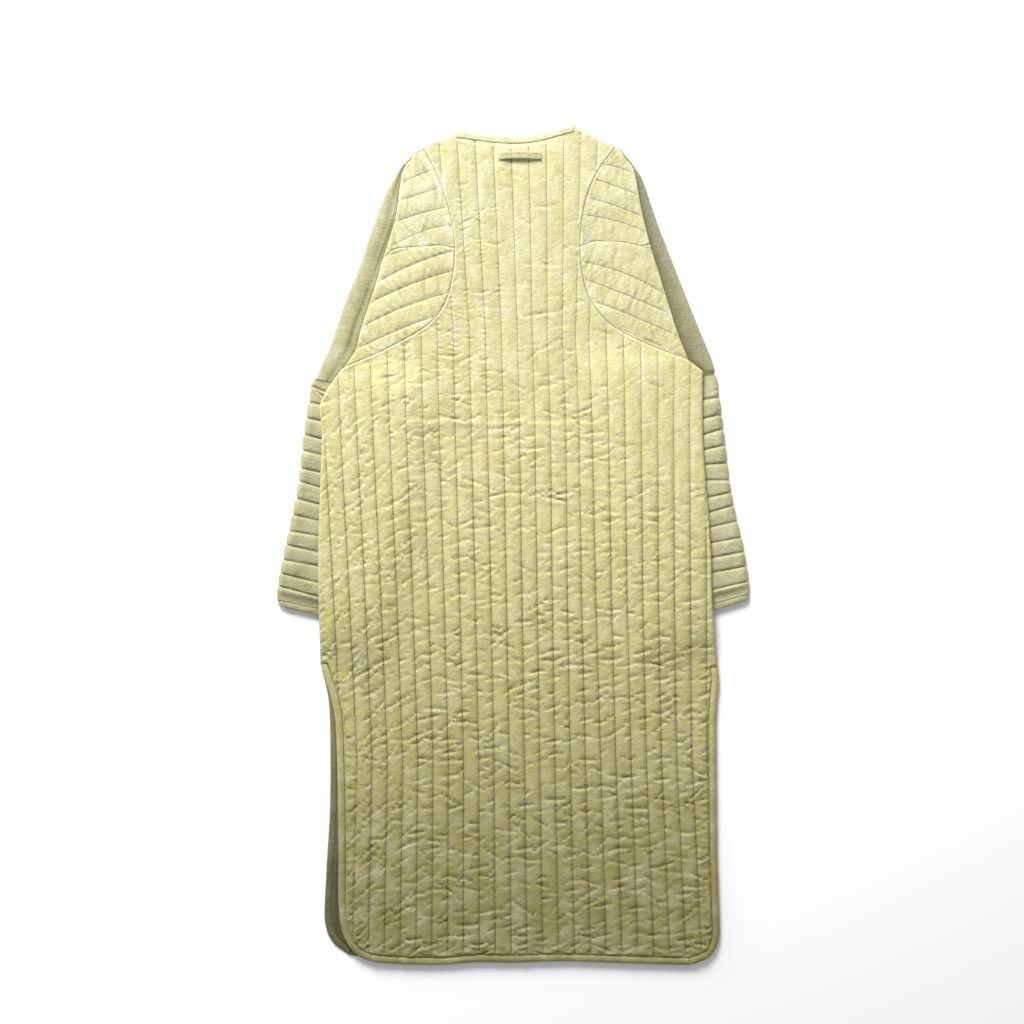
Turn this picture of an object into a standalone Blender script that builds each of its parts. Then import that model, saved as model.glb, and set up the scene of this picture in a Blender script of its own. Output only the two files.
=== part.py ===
"""Long quilted velvet coat, laid flat on its fronts with its back up, collar towards +Y.

Tables and functions are in millimetres: x to the right, y towards the collar, z up from the
surface that the coat lies on. The middle of the coat is x = 0, y = 0. Meshes are made in metres.
"""

import bpy
import bmesh
import numpy as np
from mathutils import Vector
from mathutils.bvhtree import BVHTree
from mathutils.geometry import delaunay_2d_cdt

MM = 0.001

# Cloth and gaps
SEAM_GAP = 0.3
LAYER_GAP = 0.3
UNDER_WALL = 3.6
STITCH_WALL = 2.2
EDGE_WALL = 2.8
BODY_CROWN = 3.8
SLEEVE_CROWN = 2.6
BINDING_WIDTH = 10.0
BINDING_HEIGHT = 4.6
UNDER_BINDING_HEIGHT = 3.4
NECK_WIDTH = 10.0
NECK_HEIGHT = 4.4

# Lower sleeve tube, tucked under the sides of the body
TUBE_WALL = 3.0
TUBE_SLIT = 0.6
TUBE_HEIGHT = 2 * TUBE_WALL + TUBE_SLIT
TUBE_RIBS = 14
CUFF_LENGTH = 9.0
CUFF_RISE = 0.8

# How the body rises over the hidden part of the sleeves
LIFT = TUBE_HEIGHT + 0.6
LIFT_CLEAR = 12.0
LIFT_RAMP = 45.0
LIFT_RAMP_AT_ARMHOLE = 32.0
RAMP_CLEARANCE = 1.0
CLEARANCE_FROM = 0.125

# Point spacing, and points nearer than MERGED are one
MERGED = 0.5
EDGE_STEP = 17.0
RIB_STEP = 84.0
SLEEVE_RIB_STEP = 30.0
DENSE_STEP = 2.0
EDGE_CLEAR = 6.0
CROWN_FADE = 9.0
GRID_STEP = 24.0
GRID_SPARSE = 4
CORNER_CLEAR = 16.0

# Fronts
FRONT_MIDDLE = 3.0
FRONT_TUCK = 6.0
SIDE_TUCK = 1.0
NECKLINE_CENTRE = (3.0, 590.0)
NECKLINE_HALF_WIDTH = 84.0
NECKLINE_DEPTH = 84.0
NECKLINE_ANGLES = {"left": (189, 267), "right": (-4, -87)}
NECKLINE_POINTS = 12
# Shares of the way from the middle of the neck to the fronts' neckline
NECK_SINK = (0.42, 0.82)
NECK_FINE_REACH = 1.25
# The fronts' middle edge has its points at these heights y
MIDDLE_EDGE_Y = (-200, 200)

VELVET = (0.72, 0.68, 0.40, 1)
VELVET_LIGHT = (0.80, 0.77, 0.52, 1)
VELVET_DEEP = (0.55, 0.52, 0.28, 1)
VELVET_ROUGHNESS = 0.85
SHARP_DEGREES = 50

# Outlines, as x, y
NECK = [(-78, 579), (-41, 574), (-1, 571), (34, 574), (64, 582), (84, 587)]
SHOULDER_LEFT = [(-78, 579), (-104, 568), (-128, 557)]
SHOULDER_RIGHT = [(84, 587), (101, 579), (126, 566), (144, 557)]
ARMHOLE_LEFT = [
    (-128, 557), (-111, 527), (-92, 478), (-83, 434), (-82, 396), (-90, 351), (-106, 321),
    (-127, 302), (-151, 288), (-181, 272), (-218, 256), (-237, 247), (-253, 227),
]
ARMHOLE_RIGHT = [
    (144, 557), (118, 522), (102, 483), (94, 434), (96, 387), (106, 347), (130, 314),
    (153, 298), (181, 284), (209, 272), (246, 257), (265, 243),
]
SIDE_LEFT = [
    (-253, 227), (-269, 197), (-267, 151), (-270, 63), (-272, -21), (-271, -95), (-269, -168),
]
SIDE_RIGHT = [
    (265, 243), (265, 182), (266, 137), (270, 84), (273, 43), (277, -14), (279, -88), (286, -171),
]
SLIT_LEFT = [
    (-269, -168), (-258, -202), (-249, -238), (-246, -300), (-244, -417), (-244, -500),
    (-241, -532), (-235, -554), (-223, -570), (-200, -582),
]
HEM = [
    (-200, -582), (-158, -586), (-99, -587), (-48, -583), (-1, -584), (66, -582), (139, -584), (248, -587),
]
SLIT_RIGHT = [
    (248, -587), (272, -580), (284, -566), (289, -546), (288, -511), (285, -418), (284, -301),
    (284, -231), (288, -189), (286, -171),
]
FRONT_SLIT_LEFT = [
    (-268, -172), (-259, -209), (-256, -259), (-256, -360), (-259, -418), (-263, -489),
    (-264, -525), (-260, -545), (-249, -561), (-228, -574),
]
FRONT_HEM_LEFT = [(-228, -574), (-180, -579), (-90, -580)]
FOLD_LEFT = [
    (-131, 551), (-151, 530), (-158, 504), (-165, 455), (-182, 400), (-194, 359), (-211, 307),
    (-220, 273),
]
FOLD_RIGHT = [
    (147, 551), (167, 529), (174, 503), (180, 468), (192, 420), (206, 375), (217, 339), (229, 301),
    (238, 277),
]
FOLD_AT_ARMHOLE = {"left": (-237, 247), "right": (246, 257)}
SILHOUETTE_LEFT = [
    (-134, 556), (-162, 525), (-185, 486), (-201, 446), (-218, 396), (-240, 342), (-259, 287),
    (-280, 233),
]
SILHOUETTE_RIGHT = [
    (149, 556), (179, 517), (193, 479), (214, 420), (235, 366), (261, 301), (277, 263), (283, 245),
]
LOWER_OUTER_LEFT = [
    (-280, 233), (-286, 202), (-294, 147), (-300, 90), (-309, 42), (-318, 1), (-326, -39), (-332, -82),
]
LOWER_INNER_LEFT = [(-147, 204), (-161, 126), (-179, 35), (-197, -49), (-213, -106)]
LOWER_OUTER_RIGHT = [
    (283, 245), (289, 200), (296, 144), (304, 78), (312, 39), (319, 11), (326, -27), (332, -73),
]
LOWER_INNER_RIGHT = [(148, 230), (157, 175), (179, 44), (198, -34), (215, -106)]
LOOP_MIDDLE = [(-20, 544), (39, 544)]
LOOP_WIDTH = 10.0
LOOP_THICKNESS = 1.8
LOOP_RISE = 2.4
LOOP_EDGE = 0.9
LOOP_STATIONS = 9

# Piecing seam of the sleeve back, from the armhole to the fold
PIECING = {
    "left": [(-82, 420), (-134, 417), (-167, 413), (-182, 402)],
    "right": [(94, 424), (148, 424), (193, 415)],
}
# Stitch lines of the sleeve back: x and y at the armhole, halfway and at the fold
SLEEVE_STITCHES = {
    "left": [
        (-111, 526, -134, 517, -155, 508),
        (-103, 500, -130, 491, -158, 482),
        (-91, 473, -128, 464, -163, 453),
        (-85, 448, -134, 436, -173, 414),
        (-82, 412, -134, 395, -190, 367),
        (-84, 384, -134, 368, -197, 340),
        (-90, 353, -134, 340, -206, 308),
        (-106, 321, -158, 302, -218, 274),
    ],
    "right": [
        (127, 533, 148, 528, 168, 521),
        (118, 511, 146, 501, 175, 490),
        (111, 484, 144, 474, 178, 461),
        (99, 462, 139, 455, 187, 438),
        (97, 396, 140, 386, 202, 357),
        (102, 372, 148, 354, 210, 328),
        (111, 342, 148, 328, 221, 297),
    ],
}
STITCHES_ABOVE_PIECING = 4
STITCH_POINTS = 60
SLEEVE_CHANNEL = 21.0

# Lengthwise stitch lines of the body: their middle line and their spacing at heights y
LINE_Y = [-574, -301, -66, 301, 564]
LINE_MIDDLE = [19.6, 16.1, 12.6, 7.0, -2.0]
LINE_SPACING = [22.2, 21.3, 21.8, 22.6, 25.3]
LINES_EACH_SIDE = 14
CROWN_PLACES = (1 / 3, 2 / 3)
# Cross folds of the back: x from, x to, y, share of the crown that is pressed down
CROSS_FOLDS = [
    (-172, 124, 176, 0.55),
    (80, 150, 88, 0.4),
    (-262, -150, -30, 0.4),
    (-60, 60, -180, 0.35),
]
CROSS_FOLD_HALF_WIDTH = 7.0
CROSS_FOLD_END = 30.0

# Sleeve top strip: share of its width and height over the floor, from the inner edge to the fold
STRIP_PROFILE = {
    "left": [(0, 6.4), (0.16, 7.8), (0.3, 6.6), (0.5, 8.6), (0.75, 8.0), (0.93, 6.2), (1, 4.0)],
    "right": [(0, 6.6), (0.12, 8.2), (0.3, 8.0), (0.5, 7.2), (0.75, 6.2), (0.93, 5.0), (1, 3.6)],
}
# The same for its underside, from the fold back to the inner edge
STRIP_UNDERSIDE = [(0.95, 0.5), (0.86, 0), (0.4, 0), (0, 0)]
STRIP_INSIDE_REACH = 0.84
# Section of the lower sleeve: place, share of its height, share of the ribs' rise.
# Places run from 0 at the outer fold to 1 at the edge of the body and on to 2 at the hidden fold.
TUBE_SECTION = [
    (0, 0.45, 0), (0.05, 0.85, 0.4), (0.2, 1, 1), (0.45, 1, 1), (0.7, 1, 0.9), (0.88, 1, 0.5),
    (1, 1, 0), (1.5, 1, 0), (1.94, 0.9, 0), (2, 0.45, 0), (1.93, 0, 0), (1.2, 0, 0), (0.12, 0, 0),
]
# The middle of the cuff is raised between these shares of its length
CUFF_CROWN = (0.25, 0.75)
TUBE_SLIT_INSET = 0.035
# Section of a binding: share of its width from the outer edge, share of its height
BINDING_SECTION = [(0, 0), (0, 0.5), (0.25, 1), (0.8, 0.9), (1, 0.5), (1, 0)]


def ramp(share):
    """Smooth step from 0 to 1."""
    share = np.clip(share, 0.0, 1.0)
    return share * share * (3 - 2 * share)


def units(vectors):
    return vectors / np.maximum(np.linalg.norm(vectors, axis=-1, keepdims=True), 1e-9)


def curve(rows, step=EDGE_STEP):
    """Points about a step apart on a smooth line through the rows."""
    rows = np.array(rows, float)
    padded = np.vstack([2 * rows[0] - rows[1], rows, 2 * rows[-1] - rows[-2]])
    points = []
    for before, start, end, after in zip(padded, padded[1:], padded[2:], padded[3:]):
        count = max(1, round(np.linalg.norm(end - start) / step))
        for t in np.arange(count) / count:
            line = 2 * start + (end - before) * t
            square = (2 * before - 5 * start + 4 * end - after) * t**2
            cube = (3 * start - before - 3 * end + after) * t**3
            points.append((line + square + cube) / 2)
    points.append(rows[-1])
    return np.array(points)


def resampled(line, count):
    """The line with this many points, evenly spaced."""
    along = np.concatenate([[0], np.cumsum(np.linalg.norm(np.diff(line, axis=0), axis=1))])
    places = np.linspace(0, along[-1], count)
    return np.column_stack([np.interp(places, along, line[:, axis]) for axis in range(line.shape[1])])


def shifted(line, distance, closed=False):
    """The line moved to its left, with mitred corners."""
    before = np.roll(line, 1, axis=0)
    after = np.roll(line, -1, axis=0)
    if not closed:
        before[0] = 2 * line[0] - line[1]
        after[-1] = 2 * line[-1] - line[-2]
    first = units(line - before)
    second = units(after - line)
    tangent = units(first + second)
    half_cosine = np.clip((tangent * second).sum(axis=1), 0.5, 1.0)
    left = np.column_stack([-tangent[:, 1], tangent[:, 0]])
    return line + left * (distance / half_cosine)[:, None]


def joined(*lines):
    """Lines run together into one closed line, without doubled points."""
    points = np.vstack(lines)
    keep = np.linalg.norm(points - np.roll(points, 1, axis=0), axis=1) > MERGED
    return points[keep]


def joined_open(lines):
    """Open lines run together, keeping both ends and no doubled points."""
    points = np.vstack(lines)
    keep = np.append(True, np.linalg.norm(np.diff(points, axis=0), axis=1) > MERGED)
    return points[keep]


def split_at(line, point):
    """The two halves of a line at its point nearest to this one."""
    nearest = int(np.argmin(np.linalg.norm(line - np.array(point, float), axis=1)))
    return line[: nearest + 1], line[nearest:]


def counter_clockwise(outline):
    x, y = outline.T
    area = (x * np.roll(y, -1) - y * np.roll(x, -1)).sum()
    return outline if area > 0 else outline[::-1]


def depth_inside(outline, points):
    """Distance of each point from the outline, negative outside it."""
    start = outline
    side = np.roll(outline, -1, axis=0) - start
    to_point = points[:, None, :] - start[None]
    share = np.clip((to_point * side).sum(-1) / (side * side).sum(-1), 0, 1)
    distance = np.linalg.norm(to_point - share[..., None] * side, axis=-1).min(axis=1)
    y0 = start[:, 1]
    y1 = y0 + side[:, 1]
    crosses = (y0 > points[:, 1:]) != (y1 > points[:, 1:])
    slope = side[:, 0] / np.where(np.abs(side[:, 1]) < 1e-9, 1e-9, side[:, 1])
    left_of = points[:, :1] < start[:, 0] + (points[:, 1:] - y0) * slope
    inside = (crosses & left_of).sum(axis=1) % 2 == 1
    return np.where(inside, distance, -distance)


def material(name, colour):
    made = bpy.data.materials.new(name)
    made.use_nodes = True
    made.diffuse_color = colour
    shader = made.node_tree.nodes["Principled BSDF"]
    shader.inputs["Base Color"].default_value = colour
    shader.inputs["Roughness"].default_value = VELVET_ROUGHNESS
    return made


def add_object(name, points, faces, colour):
    """A closed, smooth-shaded mesh object from points in millimetres."""
    mesh = bpy.data.meshes.new(name)
    mesh.from_pydata([Vector(point) * MM for point in points], [], faces)
    work = bmesh.new()
    work.from_mesh(mesh)
    bmesh.ops.recalc_face_normals(work, faces=work.faces)
    work.to_mesh(mesh)
    work.free()
    mesh.shade_smooth()
    mesh.set_sharp_from_angle(angle=np.radians(SHARP_DEGREES))
    mesh.materials.append(material(name, colour))
    made = bpy.data.objects.new(name, mesh)
    bpy.context.scene.collection.objects.link(made)
    return made


def stretches(outline, line, step, folds=()):
    """The stretches of a line inside an outline, with a point per step and at each cross fold."""
    inside = np.append(depth_inside(outline, line) > EDGE_CLEAR, False)
    found = []
    start = None
    for i, is_inside in enumerate(inside):
        if is_inside and start is None:
            start = i
        elif not is_inside and start is not None:
            count = max(1, round((i - start) * DENSE_STEP / step))
            chosen = set(np.linspace(start, i - 1, count + 1).round().astype(int))
            for x_from, x_to, y, _ in folds:
                for side in (-2, 0, 2):
                    gap = line[start:i, 1] - y - side * CROSS_FOLD_HALF_WIDTH
                    nearest = start + int(np.argmin(np.abs(gap)))
                    if start < nearest < i - 1 and x_from < line[nearest, 0] < x_to:
                        chosen.add(nearest)
            found.append(line[sorted(chosen)])
            start = None
    return found


def triangulated(outline, lines):
    """Triangles inside an outline through lines of (points, height). The outline's points come first."""
    count = len(outline)
    points = [Vector(point) for point in outline]
    heights = [0.0] * count
    edges = [(i, (i + 1) % count) for i in range(count)]
    for line, height in lines:
        for i, point in enumerate(line):
            if i:
                edges.append((len(points) - 1, len(points)))
            points.append(Vector(point))
            heights.append(height)
    found, _, faces, sources, _, _ = delaunay_2d_cdt(points, edges, [], 1, 1e-4)
    heights.append(0.0)
    first_source = [source[0] if source else len(points) for source in sources]
    order = sorted(range(len(found)), key=lambda i: first_source[i])
    place = {old: new for new, old in enumerate(order)}
    flat = np.array([found[i][:] for i in order])
    rises = np.array([heights[first_source[i]] for i in order])
    return flat, rises, [[place[i] for i in face] for face in faces]


def grid_lines(outline, fine_where):
    """Single points of a staggered grid inside an outline: close where asked, else far apart."""
    low = (outline.min(axis=0) // GRID_STEP).astype(int)
    high = (outline.max(axis=0) // GRID_STEP).astype(int) + 1
    points = []
    is_sparse = []
    for row in range(low[1], high[1] + 1):
        for column in range(low[0], high[0] + 1):
            points.append(((column + row % 2 / 2) * GRID_STEP, row * GRID_STEP))
            is_sparse.append(row % GRID_SPARSE == 0 and column % GRID_SPARSE == 0)
    points = np.array(points)
    is_wanted = np.array(is_sparse) | fine_where(points)
    is_inside = depth_inside(outline, points) > EDGE_CLEAR
    return [([point], 0.0) for point in points[is_wanted & is_inside]]


def nowhere(points):
    return np.zeros(len(points), bool)


def panel(
    name, outline, ribs, floor_of, colour, wall=STITCH_WALL, edge_wall=EDGE_WALL, fine_where=nowhere
):
    """A cloth wall over floor_of(points). Its ribs are (line, rise over the wall) pairs."""
    outline = shifted(counter_clockwise(outline), SEAM_GAP / 2, closed=True)
    plain = grid_lines(outline, fine_where)
    under, _, under_faces = triangulated(outline, plain)
    upper, rises, upper_faces = triangulated(outline, ribs or plain)
    depth = np.maximum(depth_inside(outline, upper), 0)
    thick = np.where(depth > EDGE_CLEAR / 2, wall + rises * ramp(depth / CROWN_FADE), edge_wall)
    upper_points = np.column_stack([upper, floor_of(upper) + thick])
    under_points = np.column_stack([under, floor_of(under)])
    first_under = len(upper_points)
    faces = [tuple(face) for face in upper_faces]
    faces += [tuple(i + first_under for i in reversed(face)) for face in under_faces]
    count = len(outline)
    for i in range(count):
        after = (i + 1) % count
        faces.append((first_under + i, first_under + after, after, i))
    return add_object(name, np.vstack([upper_points, under_points]), faces, colour)


def lofted(name, rings, colour):
    """Closed rings of equal length joined in order, with the first and the last one filled."""
    count = len(rings[0])
    faces = [tuple(range(count)), tuple((len(rings) - 1) * count + i for i in range(count))]
    for ring in range(len(rings) - 1):
        for i in range(count):
            after = (i + 1) % count
            start = ring * count
            faces.append((start + i, start + after, start + count + after, start + count + i))
    return add_object(name, np.vstack(rings), faces, colour)


def binding(name, outer, inner, floor_of, height, colour):
    """A rounded strip between the free edge and the panel that it binds."""
    outer = outer.copy()
    inner = inner + units(outer - inner) * SEAM_GAP / 2
    for line in (outer, inner):
        line[0] += units(line[1] - line[0]) * SEAM_GAP / 2
        line[-1] += units(line[-2] - line[-1]) * SEAM_GAP / 2
    rings = []
    for edge, seam in zip(outer, inner):
        flat = np.array([edge + (seam - edge) * share for share, _ in BINDING_SECTION])
        raised = floor_of(flat) + height * np.array([rise for _, rise in BINDING_SECTION])
        rings.append(np.column_stack([flat, raised]))
    return lofted(name, rings, colour)


# How high the layers lie

def sleeve_line(side, points):
    """Inner edge x, top y and cuff y of the hidden sleeve beside each point."""
    outer = np.array(LOWER_OUTER_LEFT if side == "left" else LOWER_OUTER_RIGHT, float)
    inner = np.array(LOWER_INNER_LEFT if side == "left" else LOWER_INNER_RIGHT, float)
    x, y = points.T
    edge = np.interp(y, inner[::-1, 1], inner[::-1, 0])
    ends = []
    for end in (0, -1):
        share = (x - outer[end, 0]) / (inner[end, 0] - outer[end, 0])
        ends.append(outer[end, 1] + share * (inner[end, 1] - outer[end, 1]))
    return edge, ends[0], ends[1] - CUFF_LENGTH


def lift_share(points, spread=0.0):
    """1 where the body lies on a sleeve, 0 where it lies on the floor."""
    total = np.zeros(len(points))
    x, y = points.T
    for side, sign in (("left", -1), ("right", 1)):
        edge, top, cuff = sleeve_line(side, points)
        across = ramp(((x - edge) * sign + LIFT_CLEAR + LIFT_RAMP + spread) / LIFT_RAMP)
        down = ramp((top - y + LIFT_CLEAR + LIFT_RAMP_AT_ARMHOLE + spread) / LIFT_RAMP_AT_ARMHOLE)
        up = ramp((y - cuff + LIFT_CLEAR + LIFT_RAMP + spread) / LIFT_RAMP)
        total += across * down * up
    return total


def on_ramp(points):
    return lift_share(points, GRID_STEP) > 0


def neck_reach(points):
    """0 at the middle of the neck, 1 on the neckline of the fronts."""
    offset = (points - np.array(NECKLINE_CENTRE)) / np.array([NECKLINE_HALF_WIDTH, NECKLINE_DEPTH])
    return np.linalg.norm(offset, axis=1)


def neck_share(points):
    """0 where the back's neck edge lies on the floor, 1 where it lies on the fronts."""
    start, end = NECK_SINK
    return ramp((neck_reach(points) - start) / (end - start))


def uneven_under_back(points):
    return on_ramp(points) | (neck_reach(points) < NECK_FINE_REACH)


def front_floor(points):
    return LIFT * lift_share(points)


def back_floor(points):
    share = lift_share(points)
    clearance = RAMP_CLEARANCE * np.minimum(1, share / CLEARANCE_FROM)
    return LIFT * share + clearance + (UNDER_WALL + LAYER_GAP) * neck_share(points)


def flat_floor(points):
    return np.zeros(len(points))


def on_under_layer(points):
    return np.full(len(points), UNDER_WALL + LAYER_GAP)


# Outlines that more than one piece uses

def body_edges():
    """The named edges of the back, each running counter-clockwise."""
    slit_and_hem = curve(SLIT_LEFT + HEM[1:] + SLIT_RIGHT[1:])
    neck = curve(NECK)[::-1]
    return {
        "bound": slit_and_hem,
        "bound_inside": shifted(slit_and_hem, BINDING_WIDTH),
        "side_right": curve(SIDE_RIGHT)[::-1],
        "armhole_right": curve(ARMHOLE_RIGHT)[::-1],
        "shoulder_right": curve(SHOULDER_RIGHT)[::-1],
        "neck": neck,
        "neck_inside": shifted(neck, NECK_WIDTH),
        "shoulder_left": curve(SHOULDER_LEFT),
        "armhole_left": curve(ARMHOLE_LEFT),
        "side_left": curve(SIDE_LEFT),
    }


def neckline(side):
    """The lower neck edge of a front, from the shoulder to the middle."""
    first, last = NECKLINE_ANGLES[side]
    angles = np.radians(np.linspace(first, last, NECKLINE_POINTS))
    x = NECKLINE_CENTRE[0] + NECKLINE_HALF_WIDTH * np.cos(angles)
    y = NECKLINE_CENTRE[1] + NECKLINE_DEPTH * np.sin(angles)
    return np.column_stack([x, y])


def body_ribs(outline):
    """Stitch lines and crown lines of the body as (points, rise) pairs."""
    y = np.arange(-600, 600, DENSE_STEP)
    middle = np.interp(y, LINE_Y, LINE_MIDDLE)
    spacing = np.interp(y, LINE_Y, LINE_SPACING)
    found = []
    for number in range(-LINES_EACH_SIDE, LINES_EACH_SIDE + 1):
        for place in (0, *CROWN_PLACES):
            line = np.column_stack([middle + (number + place) * spacing, y])
            rise = BODY_CROWN if place else 0.0
            for stretch in stretches(outline, line, RIB_STEP, CROSS_FOLDS):
                found.append((stretch, rise))
    return found


def press_cross_folds(made):
    """Presses the crowns of the back down along its cross folds."""
    for x_from, x_to, y_fold, share in CROSS_FOLDS:
        for vertex in made.data.vertices:
            x, y = vertex.co.xy / MM
            if vertex.normal.z < 0.3 or not x_from < x < x_to:
                continue
            near = np.exp(-(((y - y_fold) / CROSS_FOLD_HALF_WIDTH) ** 2))
            ends = ramp(min(x - x_from, x_to - x) / CROSS_FOLD_END)
            vertex.co.z -= MM * BODY_CROWN * share * near * ends


# The body

def make_back(edges):
    outline = joined(
        edges["bound_inside"], edges["bound"][-1:], edges["side_right"], edges["armhole_right"],
        edges["shoulder_right"], edges["neck"][:1], edges["neck_inside"], edges["neck"][-1:],
        edges["shoulder_left"], edges["armhole_left"], edges["side_left"],
    )
    ribs = body_ribs(counter_clockwise(outline))
    made = panel("back", outline, ribs, back_floor, VELVET, fine_where=uneven_under_back)
    press_cross_folds(made)
    return made


def make_back_bindings(edges):
    corner_left = np.array(SLIT_LEFT[-1], float)
    corner_right = np.array(SLIT_RIGHT[0], float)
    outer = edges["bound"]
    inner = edges["bound_inside"]
    first = int(np.argmin(np.linalg.norm(outer - corner_left, axis=1)))
    last = int(np.argmin(np.linalg.norm(outer - corner_right, axis=1)))
    for name, part in (
        ("slit_binding_left", slice(0, first + 1)),
        ("hem_binding", slice(first, last + 1)),
        ("slit_binding_right", slice(last, None)),
    ):
        binding(name, outer[part], inner[part], back_floor, BINDING_HEIGHT, VELVET_DEEP)
    binding("neck_band", edges["neck"], edges["neck_inside"], back_floor, NECK_HEIGHT, VELVET)


def make_front(side, edges):
    """A front with its four bindings. It lies on the floor in the middle and on the sleeve at the side."""
    middle_x = FRONT_MIDDLE if side == "right" else -FRONT_MIDDLE
    middle_rows = [(middle_x, y) for y in MIDDLE_EDGE_Y]
    if side == "left":
        slit = curve(FRONT_SLIT_LEFT)
        hem = curve(FRONT_HEM_LEFT + [(middle_x, FRONT_HEM_LEFT[-1][1])])
        neck = neckline(side)[::-1]
        neck = neck[neck[:, 0] < middle_x - CORNER_CLEAR]
        neck = np.vstack([[middle_x, neck[0, 1]], neck])
        middle = np.vstack([hem[-1], middle_rows, neck[0]])
        pieces = [("slit", slit), ("hem", hem), ("edge", middle), ("neck", neck)]
        side_edge = shifted(edges["side_left"], SIDE_TUCK)
        rest = [edges["shoulder_left"][2:], edges["armhole_left"], side_edge, slit[:1]]
    else:
        tucked = shifted(edges["bound"], FRONT_TUCK)
        corner = int(np.argmin(np.linalg.norm(edges["bound"] - np.array(SLIT_RIGHT[0]), axis=1)))
        slit = tucked[corner:]
        hem = tucked[: corner + 1]
        hem = hem[hem[:, 0] > middle_x + CORNER_CLEAR]
        hem = np.vstack([[middle_x, hem[0, 1]], hem])
        neck = neckline(side)
        neck = neck[neck[:, 0] > middle_x + CORNER_CLEAR]
        neck = np.vstack([neck, [middle_x, neck[-1, 1]]])
        middle = np.vstack([neck[-1], middle_rows[::-1], hem[0]])
        pieces = [("neck", neck), ("edge", middle), ("hem", hem), ("slit", slit)]
        side_edge = shifted(edges["side_right"], SIDE_TUCK)
        rest = [slit[-1:], side_edge, edges["armhole_right"], edges["shoulder_right"][:-2]]
    free = joined_open([line for _, line in pieces])
    free_inside = shifted(free, BINDING_WIDTH)
    outline = joined(free_inside, *rest)
    panel(
        f"front_{side}", outline, None, front_floor, VELVET_DEEP,
        wall=UNDER_WALL, edge_wall=UNDER_WALL, fine_where=on_ramp,
    )
    start = 0
    for name, line in pieces:
        end = int(np.argmin(np.linalg.norm(free - line[-1], axis=1)))
        part = slice(start, end + 1)
        full_name = f"front_{name}_binding_{side}"
        binding(full_name, free[part], free_inside[part], front_floor, UNDER_BINDING_HEIGHT, VELVET_DEEP)
        start = end


def make_hanger_loop(back):
    """A flat strip sewn down on the back at its ends, its middle lifted a little."""
    corners = [vertex.co for vertex in back.data.vertices]
    surface = BVHTree.FromPolygons(corners, [face.vertices for face in back.data.polygons])
    line = resampled(np.array(LOOP_MIDDLE, float), LOOP_STATIONS)
    half = LOOP_WIDTH / 2
    tops = []
    for x, y in line:
        hits = []
        for dx in (-LOOP_THICKNESS, 0, LOOP_THICKNESS):
            for dy in np.linspace(-half, half, 5):
                start = Vector((x + dx, y + dy, 1 / MM)) * MM
                hits.append(surface.ray_cast(start, Vector((0, 0, -1)))[0].z / MM)
        tops.append(max(hits))
    rings = []
    for i, (x, y) in enumerate(line):
        share = i / (len(line) - 1)
        between_ends = tops[0] + (tops[-1] - tops[0]) * share
        arch = np.sin(np.pi * share) ** 2
        low = max(tops[i], between_ends) + LAYER_GAP + LOOP_RISE * arch
        high = low + LOOP_THICKNESS
        shoulder = high - LOOP_EDGE / 2
        y_low = y + arch - half
        y_high = y + arch + half
        ring = [(x, y_low, low), (x, y_high, low), (x, y_high, shoulder)]
        ring += [(x, y_high - LOOP_EDGE, high), (x, y_low + LOOP_EDGE, high), (x, y_low, shoulder)]
        rings.append(ring)
    lofted("hanger_loop", rings, VELVET_DEEP)


# The sleeves

def make_sleeve_top(side):
    """The pieces from the armhole to the outer fold: two quilted ones, a hidden one and a plain strip."""
    armhole = curve(ARMHOLE_LEFT if side == "left" else ARMHOLE_RIGHT)
    fold = curve(FOLD_LEFT if side == "left" else FOLD_RIGHT)
    silhouette = curve(SILHOUETTE_LEFT if side == "left" else SILHOUETTE_RIGHT)
    to_fold_end, armhole_tail = split_at(armhole, FOLD_AT_ARMHOLE[side])
    piecing = curve(PIECING[side])
    armhole_upper, armhole_lower = split_at(to_fold_end, piecing[0])
    fold_upper, fold_lower = split_at(fold, piecing[-1])
    piecing = np.vstack([armhole_upper[-1:], piecing[1:-1], fold_upper[-1:]])

    stitches = [curve(np.array(row, float).reshape(3, 2), DENSE_STEP) for row in SLEEVE_STITCHES[side]]
    stitches = [resampled(line, STITCH_POINTS) for line in stitches]
    seam = resampled(piecing, STITCH_POINTS)
    upper_lines = [stitches[0] + (0, SLEEVE_CHANNEL)] + stitches[:STITCHES_ABOVE_PIECING] + [seam]
    lower_lines = [seam] + stitches[STITCHES_ABOVE_PIECING:] + [stitches[-1] - (0, SLEEVE_CHANNEL)]

    upper = joined(armhole_upper, piecing, fold_upper[::-1])
    lower = joined(piecing, fold_lower, armhole_lower[::-1])
    for name, outline, lines in (("upper", upper, upper_lines), ("lower", lower, lower_lines)):
        outline = counter_clockwise(outline)
        ribs = []
        for i, (line, after) in enumerate(zip(lines, lines[1:])):
            crown = (line + after) / 2
            if i:
                ribs += [(part, 0.0) for part in stretches(outline, line, SLEEVE_RIB_STEP)]
            ribs += [(part, SLEEVE_CROWN) for part in stretches(outline, crown, SLEEVE_RIB_STEP)]
        panel(f"sleeve_back_{name}_{side}", outline, ribs, on_under_layer, VELVET)
    whole = joined(to_fold_end, fold[::-1])
    panel(
        f"sleeve_front_{side}", whole, None, flat_floor, VELVET_DEEP,
        wall=UNDER_WALL, edge_wall=UNDER_WALL,
    )

    inner = joined_open([fold, armhole_tail])
    outer = resampled(silhouette, len(inner))
    make_strip(f"sleeve_top_{side}", inner, outer, STRIP_PROFILE[side])


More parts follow.
